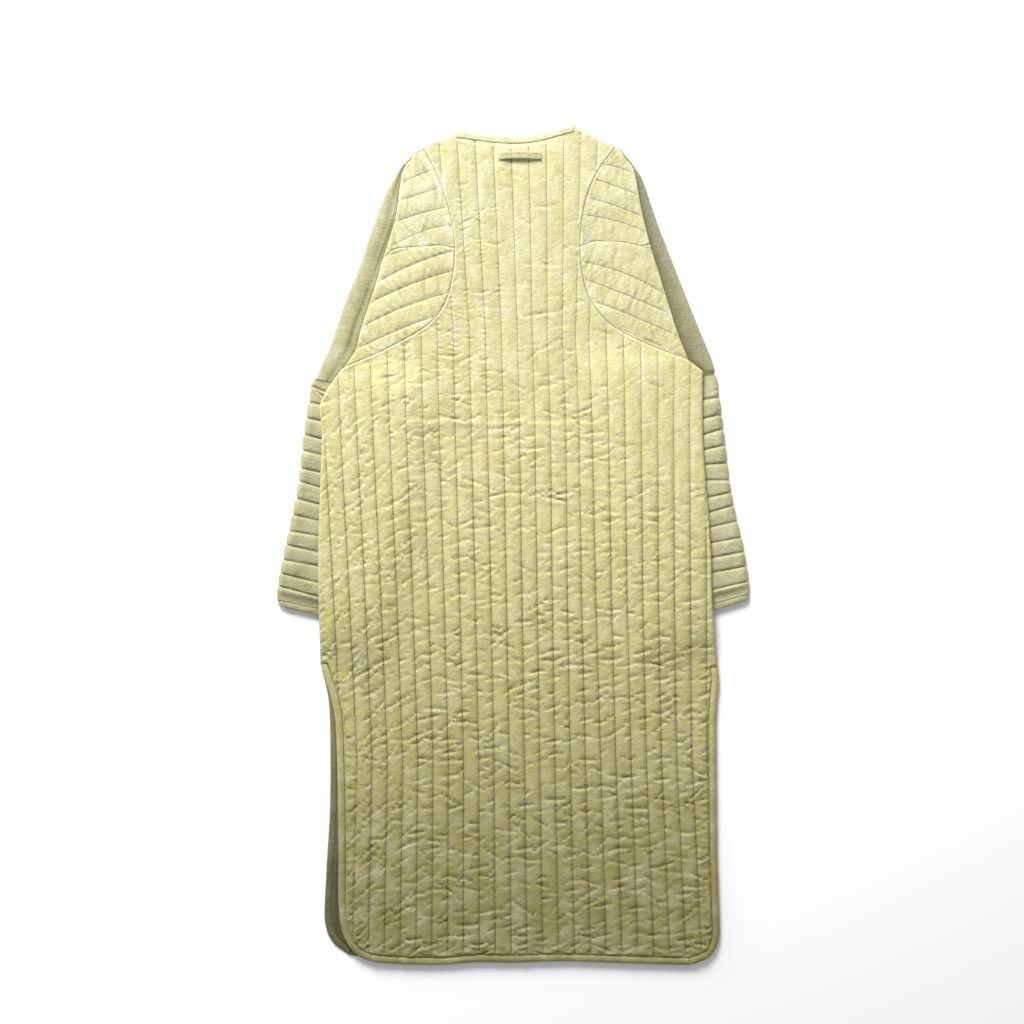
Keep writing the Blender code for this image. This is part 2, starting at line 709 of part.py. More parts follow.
def make_strip(name, inner, outer, profile):
    """A strip of cloth doubled round the outer fold: two walls with a slit between them."""
    slit_low = UNDER_WALL - LAYER_GAP
    slit_high = UNDER_WALL + LAYER_GAP
    inner = inner + units(outer - inner) * SEAM_GAP / 2
    for line in (inner, outer):
        line[-1] += units(line[-2] - line[-1]) * SEAM_GAP / 2
    rings = []
    for seam, edge in zip(inner, outer):
        section = profile + STRIP_UNDERSIDE
        section += [(0, slit_low), (STRIP_INSIDE_REACH, slit_low)]
        section += [(STRIP_INSIDE_REACH, slit_high), (0, slit_high)]
        rings.append([(*(seam + (edge - seam) * share), height) for share, height in section])
    lofted(name, rings, VELVET_LIGHT)


def section_shares(outer, inner, side_edge, sign):
    """Shares of the sleeve's width for each place of its section."""
    shares = np.linspace(0, 1, 200)
    x, y = (outer + (inner - outer) * shares[:, None]).T
    outside = (x - np.interp(y, side_edge[:, 1], side_edge[:, 0])) * sign
    at_edge = shares[np.argmax(outside < 0)]
    places = np.array([place for place, _, _ in TUBE_SECTION])
    return np.where(places < 1, places * at_edge, at_edge + (places - 1) * (1 - at_edge))


def tube_ring(outer, inner, shares, height, rise):
    """One ring round the flattened sleeve."""
    ring = []
    for share, (_, height_share, rib_share) in zip(shares, TUBE_SECTION):
        x, y = outer + (inner - outer) * share
        ring.append((x, y, height * height_share + rise * rib_share))
    return ring


def slit_ring(outer, inner, shares):
    """The matching ring of the slit inside the sleeve."""
    ring = []
    for share, (place, height_share, _) in zip(shares, TUBE_SECTION):
        x, y = outer + (inner - outer) * (TUBE_SLIT_INSET + (1 - 2 * TUBE_SLIT_INSET) * share)
        if place in (0, 2):
            z = TUBE_WALL + TUBE_SLIT / 2
        else:
            z = TUBE_WALL + (TUBE_SLIT if height_share > 0 else 0)
        ring.append((x, y, z))
    return ring


def make_tube(name, outer, inner, heights, rises, side_edge, sign, colour):
    """A flattened tube, open at both ends, with one outer ring per station and slit rings at both ends."""
    rings = []
    shares = [section_shares(edge, seam, side_edge, sign) for edge, seam in zip(outer, inner)]
    for edge, seam, part, height, rise in zip(outer, inner, shares, heights, rises):
        rings.append(tube_ring(edge, seam, part, height, rise))
    count = len(TUBE_SECTION)
    slit_stations = sorted({0, len(rings) // 3, 2 * len(rings) // 3, len(rings) - 1})
    slits = [slit_ring(outer[i], inner[i], shares[i]) for i in slit_stations]
    faces = []
    for stack, first in ((rings, 0), (slits, len(rings) * count)):
        for ring in range(len(stack) - 1):
            for i in range(count):
                after = (i + 1) % count
                start = first + ring * count
                faces.append((start + i, start + after, start + count + after, start + count + i))
    for outer_ring, slit_index in ((0, 0), (len(rings) - 1, len(slits) - 1)):
        for i in range(count):
            after = (i + 1) % count
            a = outer_ring * count
            b = (len(rings) + slit_index) * count
            faces.append((a + i, a + after, b + after, b + i))
    add_object(name, np.vstack(rings + slits), faces, colour)


def make_lower_sleeve(side):
    sign = -1 if side == "left" else 1
    outer_rows = LOWER_OUTER_LEFT if side == "left" else LOWER_OUTER_RIGHT
    inner_rows = LOWER_INNER_LEFT if side == "left" else LOWER_INNER_RIGHT
    side_edge = np.array((SIDE_LEFT if side == "left" else SIDE_RIGHT)[::-1], float)
    stations = 3 * TUBE_RIBS + 1
    outer = resampled(curve(outer_rows, DENSE_STEP), stations)
    inner = resampled(curve(inner_rows, DENSE_STEP), stations)
    for line in (outer, inner):
        line[0] += units(line[1] - line[0]) * SEAM_GAP / 2
    rises = [0.0 if i % 3 == 0 else SLEEVE_CROWN for i in range(stations)]
    heights = [TUBE_HEIGHT] * stations
    make_tube(f"sleeve_lower_{side}", outer, inner, heights, rises, side_edge, sign, VELVET)

    ends = [units(line[-1] - line[-2]) for line in (outer, inner)]
    places = (SEAM_GAP, CUFF_CROWN[0] * CUFF_LENGTH, CUFF_CROWN[1] * CUFF_LENGTH, CUFF_LENGTH)
    cuff_outer = np.array([outer[-1] + ends[0] * place for place in places])
    cuff_inner = np.array([inner[-1] + ends[1] * place for place in places])
    cuff_rises = [0, CUFF_RISE, CUFF_RISE, 0]
    heights = [TUBE_HEIGHT] * len(places)
    make_tube(f"cuff_{side}", cuff_outer, cuff_inner, heights, cuff_rises, side_edge, sign, VELVET_DEEP)


def main():
    for old in list(bpy.data.objects):
        bpy.data.objects.remove(old)
    edges = body_edges()
    back = make_back(edges)
    make_back_bindings(edges)
    make_hanger_loop(back)
    for side in ("left", "right"):
        make_front(side, edges)
        make_sleeve_top(side)
        make_lower_sleeve(side)


main()
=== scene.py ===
import math

import bmesh
import bpy
import numpy as np
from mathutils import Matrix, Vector
from mathutils.bvhtree import BVHTree
from mathutils.geometry import delaunay_2d_cdt


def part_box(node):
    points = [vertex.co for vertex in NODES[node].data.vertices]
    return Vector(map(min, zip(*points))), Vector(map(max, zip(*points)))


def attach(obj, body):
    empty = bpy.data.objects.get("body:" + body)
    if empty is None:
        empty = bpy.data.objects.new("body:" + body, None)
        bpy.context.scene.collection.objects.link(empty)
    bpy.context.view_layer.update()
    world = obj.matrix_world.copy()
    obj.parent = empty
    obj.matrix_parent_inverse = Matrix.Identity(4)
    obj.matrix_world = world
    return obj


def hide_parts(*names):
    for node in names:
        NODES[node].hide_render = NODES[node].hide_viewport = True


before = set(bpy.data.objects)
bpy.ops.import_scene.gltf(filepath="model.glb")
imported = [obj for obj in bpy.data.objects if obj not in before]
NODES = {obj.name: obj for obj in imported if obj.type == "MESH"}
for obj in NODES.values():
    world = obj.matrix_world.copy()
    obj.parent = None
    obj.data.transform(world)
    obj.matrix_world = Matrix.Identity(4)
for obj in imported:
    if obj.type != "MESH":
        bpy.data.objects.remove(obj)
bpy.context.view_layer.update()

MM = 0.001

# Lengthwise stitch lines of the body in mm: their middle line and their spacing at heights y
LINE_Y = [-574, -301, -66, 301, 564]
LINE_MIDDLE = [19.6, 16.1, 12.6, 7.0, -2.0]
LINE_SPACING = [22.2, 21.3, 21.8, 22.6, 25.3]
LINES_EACH_SIDE = 14
# How far single lines lie from that even spacing in mm: one row for each height y, one column for each line
SHIFT_LINES = [-14, -9, -6, 0, 3, 5, 9, 13]
LINE_SHIFT = [
    (-301, [0, 0, 0, 0, 0, 0, 0, 0]),
    (-66, [-2, -1, 0, 0, -2, -6, -6, -4]),
    (170, [-6, -4, -1, 0, -2, -10, -8, -8]),
    (285, [-6, -5, 0, -1, -6, -14, -8, -8]),
    (564, [0, 0, 0, -1, -3, -7, -7, -7]),
]

# Crosswise stitch lines of the sleeve tops in mm, from the armhole to the fold: x, y three times
SLEEVE_STITCHES = {
    "left": [
        (-111, 526, -134, 517, -155, 508),
        (-103, 500, -130, 491, -158, 482),
        (-91, 473, -128, 464, -163, 453),
        (-85, 448, -134, 436, -173, 414),
        (-82, 420, -134, 417, -182, 402),
        (-82, 412, -134, 395, -190, 367),
        (-84, 384, -134, 368, -197, 340),
        (-90, 353, -134, 340, -206, 308),
        (-106, 321, -158, 302, -218, 274),
    ],
    "right": [
        (127, 533, 148, 528, 168, 521),
        (118, 511, 146, 501, 175, 490),
        (111, 484, 144, 474, 178, 461),
        (99, 462, 139, 455, 187, 438),
        (95, 424, 148, 424, 190, 415),
        (97, 396, 140, 386, 202, 357),
        (102, 372, 148, 354, 210, 328),
        (111, 342, 148, 328, 221, 297),
    ],
}
# Rib lines of the lower sleeves in mm: y at the outer edge and y at the body's edge
RIB_LINES = {
    "left": [(200, 197), (178, 174), (155, 149), (133, 127), (108, 102), (90, 81), (66, 57), (43, 34), (20, 13),
             (1, -10), (-20, -29), (-39, -53), (-57, -73), (-78, -90)],
    "right": [(207, 205), (182, 179), (163, 157), (140, 135), (115, 113), (91, 91), (74, 67), (56, 46), (34, 25),
              (11, 3), (-9, -18), (-29, -39), (-51, -63), (-66, -80)],
}
BODY_EDGE_X = {"left": -270, "right": 275}
# Lower sleeves in mm: the outer fold and the fold that is hidden under the body, from top to cuff
LOWER_OUTER = {
    "left": [(-280, 233), (-286, 202), (-294, 147), (-300, 90), (-309, 42), (-318, 1), (-326, -39), (-332, -82)],
    "right": [(283, 245), (289, 200), (296, 144), (304, 78), (312, 39), (319, 11), (326, -27), (332, -73)],
}
LOWER_INNER = {
    "left": [(-147, 204), (-161, 126), (-179, 35), (-197, -49), (-213, -106)],
    "right": [(148, 230), (157, 175), (179, 44), (198, -34), (215, -106)],
}
TUBE_HEIGHT = 6.6
TUBE_WALL = 3.0
TUBE_SLIT = 0.6
# The fold of the sleeve top and the outer silhouette beside it in mm
FOLD = {
    "left": [(-131, 551), (-151, 530), (-158, 504), (-165, 455), (-182, 400), (-194, 359), (-211, 307), (-220, 273),
             (-237, 247), (-253, 227)],
    "right": [(147, 551), (167, 529), (174, 503), (180, 468), (192, 420), (206, 375), (217, 339), (229, 301),
              (238, 277), (246, 257), (265, 243)],
}
SILHOUETTE = {
    "left": [(-134, 556), (-162, 525), (-185, 486), (-201, 446), (-218, 396), (-240, 342), (-259, 287), (-280, 233)],
    "right": [(149, 556), (179, 517), (193, 479), (214, 420), (235, 366), (261, 301), (277, 263), (283, 245)],
}
# Height of the sleeve's outer strip in mm at shares of its width, from the fold outwards
STRIP_PROFILE = {
    "left": [(0, 3.2), (0.1, 4.6), (0.24, 3.8), (0.42, 6.6), (0.7, 6.2), (0.9, 4.4), (1, 2.2)],
    "right": [(0, 3.0), (0.15, 4.0), (0.4, 5.2), (0.7, 5.0), (0.9, 3.8), (1, 2.0)],
}

# The cuff's outer corner, a point up its outer fold and a point along its open end, in mm
CUFF_CORNER = {
    "left": [(-332.0, -90.0), (-326.0, -39.0), (-272.5, -102.7)],
    "right": [(333.0, -82.9), (326.0, -27.0), (280.4, -96.9)],
}
CUFF_DRAWN_IN = 6.0
CUFF_ROUND = 13.0
# Small folds below the seam at the top of the lower sleeve in mm: x from and to, y at both ends, depth
LOWER_FOLDS = {
    "left": [(-287, -262, 225, 214, 2.2), (-278, -262, 218, 205, 2.0)],
    "right": [(278, 292, 214, 222, 1.6), (276, 300, 176, 196, 1.4)],
}

# Long creases across the back in mm: x from and to, y at both ends, depth
CROSS_FOLDS = [
    (-172, 124, 177, 175, 1.5),
    (84, 142, 96, 80, 1.0),
    (110, 175, 60, 66, 0.9),
    (-230, -120, 40, 66, 1.0),
    (-60, 60, 262, 236, 0.8),
    (-262, -150, -40, -12, 1.0),
    (-30, 70, -176, -184, 0.9),
    (-140, -50, -330, -318, 0.8),
    (190, 262, -452, -462, 1.2),
    (150, 230, -540, -552, 0.8),
]

# Relief in mm: the wall at an edge, the crowns above it, and the places of the mesh columns
EDGE_WALL = 2.2
BODY_CROWN = 2.0
SLEEVE_CROWN = {"upper_left": 0.9, "lower_left": 1.5, "upper_right": 0.7, "lower_right": 0.8}
EDGE_ROLL = 4.0
COLUMNS = [0.26, 0.5, 0.74]
ROW_STEP = 4.4
LINE_STEP = 2.2
SIDE_COLUMNS = [0.045, 0.955]
SIDE_STEP = 3.1
SLEEVE_COLUMNS = [0, 0.06, 0.18, 0.4, 0.6, 0.82, 0.94]
SLEEVE_STEP = 1.95
RINGS = [1.1, 2.2, 3.5, 5.2]
BINDING_RINGS = [7.4, 9.6, 11.8, 14.0, 16.2]
BINDING_TOP = -168

# Stitches in mm: length, distance from one to the next, width and height
STITCH_LONG = 2.7
STITCH_PITCH = 3.9
STITCH_WIDE = 0.7
STITCH_HIGH = 0.35
# Where the sleeve's fold meets the shoulder in mm
SHOULDER_TIP = {"left": (-131.3, 557.0), "right": (146.4, 557.0)}
# The row of stitches on the hanging loop in mm: from x to x, low end and high end
LOOP_STITCHES = (-18.5, 37.0, 541.5, 546.8)
OUTLINE_STEP = 2.5
UNDERSIDE_STEP = 20.0

# Velvet colour at heights y in metres: darker towards the hem, a painted shade for light that falls off from above
VELVET_SHADE_ROWS = [
    (-0.52, (0.190, 0.174, 0.064)),
    (-0.29, (0.348, 0.322, 0.130)),
    (0.08, (0.590, 0.543, 0.258)),
    (0.45, (0.462, 0.438, 0.244)),
]
VELVET_DEEP = (0.26, 0.235, 0.07)
# Painted sheen: a pale colour laid over the velvet in soft random patches
VELVET_SHEEN_PATCHES = (0.62, 0.60, 0.46)
# Paler painted sheen: streaks beside stitch lines, rims at seams and edges, and a pale cast over whole pieces
VELVET_SHEEN_PALE = (0.66, 0.645, 0.57)
# Dark of the painted shade in stitch grooves, crease valleys and fold shadows, and of the thread in the stitch lines
THREAD_AND_SHADE = (0.055, 0.049, 0.019)


def smooth(share):
    share = np.clip(share, 0, 1)
    return share * share * (3 - 2 * share)


def wander(points, size, seed):
    """Soft random values from -1 to 1 that change over about the given size in mm."""
    rng = np.random.default_rng(seed)
    low = points.min(0) - 2 * np.array(size)
    cells = np.ceil((points.max(0) + 2 * np.array(size) - low) / size).astype(int) + 2
    values = rng.uniform(-1, 1, cells)
    place = (points - low) / size
    cell = np.floor(place).astype(int)
    part = place - cell
    part = part * part * (3 - 2 * part)
    i, j = cell.T
    s, t = part.T
    near = values[i, j] * (1 - s) + values[i + 1, j] * s
    far = values[i, j + 1] * (1 - s) + values[i + 1, j + 1] * s
    return near * (1 - t) + far * t


def welded(node):
    """The node's mesh as a bmesh with its split corners joined."""
    form = bmesh.new()
    form.from_mesh(NODES[node].data)
    bmesh.ops.remove_doubles(form, verts=form.verts, dist=1e-6)
    form.normal_update()
    return form


def outline_of(node):
    """The node's outline seen from above, in mm, counter-clockwise: the rim of its lowest layer."""
    form = welded(node)
    under = {f for f in form.faces if f.normal.z < -0.3}
    follows = {}
    for face in under:
        for loop in face.loops:
            other = loop.link_loop_radial_next.face
            if other not in under:
                follows[loop.link_loop_next.vert.index] = loop.vert.index
    form.verts.ensure_lookup_table()
    start = next(iter(follows))
    order = [start]
    while follows[order[-1]] != start:
        order.append(follows[order[-1]])
    line = np.array([form.verts[i].co.to_tuple() for i in order])[:, :2] / MM
    form.free()
    return line


def rounded(line, step, corner=40):
    """A closed line drawn again with points a step apart, smooth except at its corners."""
    before = line - np.roll(line, 1, 0)
    after = np.roll(line, -1, 0) - line
    turn = np.degrees(np.abs(np.arctan2(before[:, 0] * after[:, 1] - before[:, 1] * after[:, 0],
                                        (before * after).sum(1))))
    sharp = turn > corner
    count = len(line)
    points = []
    for i in range(count):
        a, b, c, d = (line[(i + k) % count] for k in (-1, 0, 1, 2))
        if sharp[i]:
            a = 2 * b - c
        if sharp[(i + 1) % count]:
            d = 2 * c - b
        pieces = max(1, int(np.linalg.norm(c - b) / step))
        for t in np.arange(pieces) / pieces:
            points.append(0.5 * (2 * b + (c - a) * t + (2 * a - 5 * b + 4 * c - d) * t ** 2
                                 + (3 * b - a - 3 * c + d) * t ** 3))
    return np.array(points)


def edge_distance(outline, points):
    """How far each point lies inside a closed line, negative outside."""
    ends = np.roll(outline, -1, 0)
    along = ends - outline
    length = (along ** 2).sum(1) + 1e-9
    result = np.empty(len(points))
    for start in range(0, len(points), 4000):
        part = points[start:start + 4000]
        offset = part[:, None] - outline[None]
        share = np.clip((offset * along).sum(2) / length, 0, 1)
        gap = np.linalg.norm(offset - share[..., None] * along, axis=2).min(1)
        x, y = part.T
        crosses = (outline[None, :, 1] > y[:, None]) != (ends[None, :, 1] > y[:, None])
        with np.errstate(divide="ignore", invalid="ignore"):
            at = outline[None, :, 0] + (y[:, None] - outline[None, :, 1]) * along[None, :, 0] / along[None, :, 1]
        inside = (crosses & (x[:, None] < at)).sum(1) % 2 == 1
        result[start:start + 4000] = np.where(inside, gap, -gap)
    return result


class Surface:
    """The height of a node's underside, or its top, over the floor in mm, smoothed."""

    def __init__(self, node, above=False, step=5.0, passes=10):
        form = welded(node)
        tree = BVHTree.FromBMesh(form)
        form.free()
        low, high = (np.array(v)[:2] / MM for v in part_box(node))
        self.low, self.step = low - 2 * step, step
        size = np.ceil((high - low) / step).astype(int) + 5
        heights = np.full(size, np.nan)
        for i in range(size[0]):
            for j in range(size[1]):
                x, y = (self.low + step * np.array([i, j])) * MM
                start, way = (0.1, -1) if above else (-0.01, 1)
                hit = tree.ray_cast(Vector((x, y, start)), Vector((0, 0, way)))[0]
                if hit is not None:
                    heights[i, j] = hit.z / MM
        while np.isnan(heights).any():
            padded = np.pad(heights, 1, constant_values=np.nan)
            near = np.stack([padded[a:a + size[0], b:b + size[1]] for a in range(3) for b in range(3)])
            known = np.isfinite(near)
            mean = np.where(known, near, 0).sum(0) / np.maximum(known.sum(0), 1)
            heights = np.where(np.isnan(heights) & known.any(0), mean, heights)
        for _ in range(passes):
            padded = np.pad(heights, 1, mode="edge")
            across = (padded[:-2, 1:-1] + 2 * padded[1:-1, 1:-1] + padded[2:, 1:-1]) / 4
            padded = np.pad(across, 1, mode="edge")
            heights = (padded[1:-1, :-2] + 2 * padded[1:-1, 1:-1] + padded[1:-1, 2:]) / 4
        self.heights = heights

    def __call__(self, points):
        place = (points - self.low) / self.step
        place = np.clip(place, 0, np.array(self.heights.shape) - 1.001)
        cell = np.floor(place).astype(int)
        s, t = (place - cell).T
        i, j = cell.T
        h = self.heights
        return ((h[i, j] * (1 - s) + h[i + 1, j] * s) * (1 - t)
                + (h[i, j + 1] * (1 - s) + h[i + 1, j + 1] * s) * t)


def triangulated(outline, inner):
    """Triangles over an outline and the points inside it."""
    count = len(outline)
    points = [Vector(p) for p in np.vstack([outline, inner])]
    edges = [(i, (i + 1) % count) for i in range(count)]
    made = delaunay_2d_cdt(points, edges, [], 1, 1e-5)
    return np.array([tuple(p) for p in made[0]]), [list(f) for f in made[2]]


def piece(name, points, faces, finish, values=None):
    """A mesh object from points in mm."""
    mesh = bpy.data.meshes.new(name)
    mesh.from_pydata((np.asarray(points) * MM).tolist(), [], faces)
    mesh.shade_smooth()
    mesh.materials.append(finish)
    for key, numbers in (values or {}).items():
        mesh.attributes.new(key, "FLOAT", "POINT").data.foreach_set("value", np.asarray(numbers, np.float32))
    made = bpy.data.objects.new(name, mesh)
    bpy.context.scene.collection.objects.link(made)
    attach(made, "root")
    return made


def creases(points, channel, along, amount, seed, spacing=26.0, reach=(1, 4), lean=0.25):
    """Puckers across the channels: each is a fold that runs over a few of them, a dark valley with a ridge below.
    channel counts the channels across, along is the length in mm, amount gives their strength at a point."""
    rng = np.random.default_rng(seed)
    height = np.zeros(len(points))
    low, high = channel.min(), channel.max()
    bottom, top = along.min(), along.max()
    count = int((high - low) * (top - bottom) / spacing / (sum(reach) / 2))
    order = np.argsort(channel)
    ranked = channel[order]
    for _ in range(count):
        first = rng.uniform(low - 1, high)
        if rng.random() < 0.6:
            first = np.round(first)
        run = rng.uniform(*reach)
        start = rng.uniform(bottom, top)
        lean_here = rng.normal(lean, 0.3) * 22
        deep = rng.uniform(0.4, 1.0)
        wide = rng.uniform(1.5, 2.6)
        stretch = rng.uniform(4, 9)
        a, b = np.searchsorted(ranked, [first, first + run])
        part = order[a:b]
        if len(part) == 0:
            continue
        place = (channel[part] - first) / run
        bend = np.interp(channel[part] - first, [0, 1, 2, 3, 4], np.cumsum([0, *rng.normal(1, 0.5, 4)]))
        down = start + lean_here * bend - along[part]
        near = (down > -12) & (down < 30)
        part, place, down = part[near], place[near], down[near]
        fade = np.sin(np.pi * np.clip(place, 0, 1)) ** 0.6
        valley = -np.exp(-(down / wide) ** 2)
        ridge = 0.75 * smooth((down + 1) / (2.2 * wide)) * np.exp(-np.clip(down, 0, None) / stretch)
        height[part] += deep * fade * (valley + ridge)
    return height * amount


class Pinches:
    """Puckers: the cloth is pinched every few centimetres along each stitch line, and from each pinch a crease
    runs into the channels on both sides: a narrow valley with a soft ridge below it, fading as it goes."""

    def __init__(self, first, last, bottom, top, seed, spacing, lean, busy, reach=(0.35, 1.0), root=2.2, tip=1.2):
        self.root, self.tip = root, tip
        rng = np.random.default_rng(seed)
        rows = []
        for number in range(first, last + 1):
            place = bottom + rng.uniform(0, spacing[1])
            while place < top:
                slope = rng.normal(0, 0.42)
                deep = rng.uniform(0.5, 1.3)
                kept = rng.random() < busy(number, place)
                for side in (-1, 1):
                    tilt = slope if rng.random() < 0.6 else -slope
                    run = rng.uniform(*reach)
                    if kept and rng.random() < 0.72:
                        rows.append((number, side, place, tilt + lean(number, place), run, deep))
                place += rng.uniform(*spacing)
        self.rows = np.array(rows)

    def wide(self, share):
        return self.root + (self.tip - self.root) * share

    def spots(self, width):
        """Where the mesh needs points to show the creases, as channel and length."""
        number, side, place, slope, reach, _ = (column[:, None, None] for column in self.rows.T)
        share = np.array([0.2, 0.55, 0.95])[None, :, None]
        offset = np.array([-1.0, 0, 1.1, 2.6])[None, None]
        away = share * reach
        channel = number + side * away + 0 * offset
        along = place + side * slope * away * width - offset * self.wide(share)
        return channel.ravel(), along.ravel()

    def relief(self, channel, along, width):
        """The height of the creases at each point, and the painted shade of their valleys."""
        height, shade = np.zeros(len(channel)), np.zeros(len(channel))
        cells = np.floor(channel).astype(int)
        owner = np.where(self.rows[:, 1] > 0, self.rows[:, 0], self.rows[:, 0] - 1).astype(int)
        for cell in np.unique(cells):
            member = np.flatnonzero(cells == cell)
            member = member[np.argsort(along[member])]
            y, u = along[member], channel[member]
            for number, side, place, slope, reach, deep in self.rows[owner == cell]:
                span = 12 + abs(slope) * reach * width
                a, b = np.searchsorted(y, (place - span, place + span))
                away = (u[a:b] - number) * side
                share = away / reach
                fade = np.clip(1 - share ** 2, 0, 1) ** 0.7
                wide = self.wide(np.clip(share, 0, 1))
                down = place + side * slope * away * width - y[a:b]
                valley = -np.exp(-(down / wide) ** 2)
                ridge = 0.6 * np.exp(-((down - 2.2 * wide) / (1.4 * wide)) ** 2)
                height[member[a:b]] += deep * fade * (valley + ridge)
                shade[member[a:b]] += deep * fade * np.exp(-((down + 0.35 * wide) / (0.7 * wide)) ** 2)
        return height, shade


def flat_crown(across):
    """Thin wadding between two stitch lines: almost flat, with steep sides."""
    return 0.78 * (1 - np.abs(2 * across - 1) ** 7) + 0.22 * np.sin(np.pi * across)


def line_shift(number, y):
    """How far a stitch line lies from the even spacing, in mm."""
    heights = [row[0] for row in LINE_SHIFT]
    across = np.stack([np.interp(number, SHIFT_LINES, row[1]) for row in LINE_SHIFT])
    place = np.interp(y, heights, np.arange(len(heights)))
    low = np.minimum(np.floor(place).astype(int), len(heights) - 2)
    part = place - low
    picked = [np.take_along_axis(across, (low + more)[None], 0)[0] for more in (0, 1)]
    return picked[0] * (1 - part) + picked[1] * part


def line_x(number, y):
    number, y = np.broadcast_arrays(np.asarray(number, float), np.asarray(y, float))
    even_place = np.interp(y, LINE_Y, LINE_MIDDLE) + number * np.interp(y, LINE_Y, LINE_SPACING)
    return even_place + line_shift(number, y)


def channel_of(points):
    """Which body channel each point lies in, counted with fractions."""
    x, y = points.T
    middle = np.interp(y, LINE_Y, LINE_MIDDLE)
    spacing = np.interp(y, LINE_Y, LINE_SPACING)
    channel = (x - middle) / spacing
    for _ in range(9):
        channel = (x - middle - line_shift(channel, y)) / spacing
    return channel


def line_heights(lines, x):
    """The y of each stitch line at each x, lines from top to bottom."""
    rows = []
    for row in lines:
        xs, ys = np.array(row[0::2], float), np.array(row[1::2], float)
        fit = np.polyfit(xs, ys, 2)
        inside = np.clip(x, xs.min() - 6, xs.max() + 6)
        rows.append(np.polyval(fit, inside) + np.polyval(np.polyder(fit), inside) * (x - inside))
    return np.array(rows)


def inset_rings(outline, distances):
    """Points on lines that run inside an outline at the given distances."""
    ahead = np.roll(outline, -1, 0) - np.roll(outline, 1, 0)
    inward = np.column_stack([-ahead[:, 1], ahead[:, 0]]) / np.linalg.norm(ahead, axis=1)[:, None]
    rings = []
    for distance in distances:
        ring = outline + inward * distance
        rings.append(ring[edge_distance(outline, ring) > 0.92 * distance])
    return np.vstack(rings)


def thinned(points, near, gap):
    """The points that keep about a gap's distance from the others."""
    row = 100000
    taken = np.floor(near / gap).astype(int) @ (row, 1)
    own = np.floor(points / gap).astype(int) @ (row, 1)
    close = np.zeros(len(points), bool)
    for i in (-1, 0, 1):
        for j in (-1, 0, 1):
            close |= np.isin(own + i * row + j, taken)
    return points[~close]


def inside_points(outline, grid, distances=RINGS):
    """The points inside a panel: rings along its edge and a grid over the rest."""
    rings = inset_rings(outline, distances)
    grid = grid[edge_distance(outline, grid) > distances[-1]]
    return np.vstack([rings, thinned(grid, rings, 1.1)])


def closed_panel(name, node, outline, inner, top, base, finish, values):
    """A closed piece: a fine top, a coarse flat underside, and a rim that joins them."""
    flat, faces = triangulated(outline, inner)
    count = len(flat)
    low, high = outline.min(0), outline.max(0)
    step = UNDERSIDE_STEP
    grid = np.array([(x, y) for x in np.arange(low[0], high[0], step) for y in np.arange(low[1], high[1], step)])
    grid = grid[edge_distance(outline, grid) > step * 0.4]
    under, under_faces = triangulated(outline, grid)
    rim = len(outline)
    heights, extra = top(flat)
    points = np.vstack([np.column_stack([flat, heights]), np.column_stack([under, base(under)])])
    all_faces = list(faces)
    all_faces += [[i + count for i in reversed(f)] for f in under_faces]
    all_faces += [[i, i + count, (i + 1) % rim + count, (i + 1) % rim] for i in range(rim)]
    full = {key: np.concatenate([numbers, np.zeros(len(under))]) for key, numbers in extra.items()}
    full.update(values)
    made = piece(name, points, all_faces, finish, full)
    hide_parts(node)
    return made


def colour_node(nodes, links, socket, colours, factor):
    mix = nodes.new("ShaderNodeMix")
    mix.data_type = "RGBA"
    mix.inputs[6].default_value = (*colours[0], 1)
    mix.inputs[7].default_value = (*colours[1], 1)
    links.new(factor, mix.inputs[0])
    if socket is not None:
        links.new(mix.outputs[2], socket)
    return mix


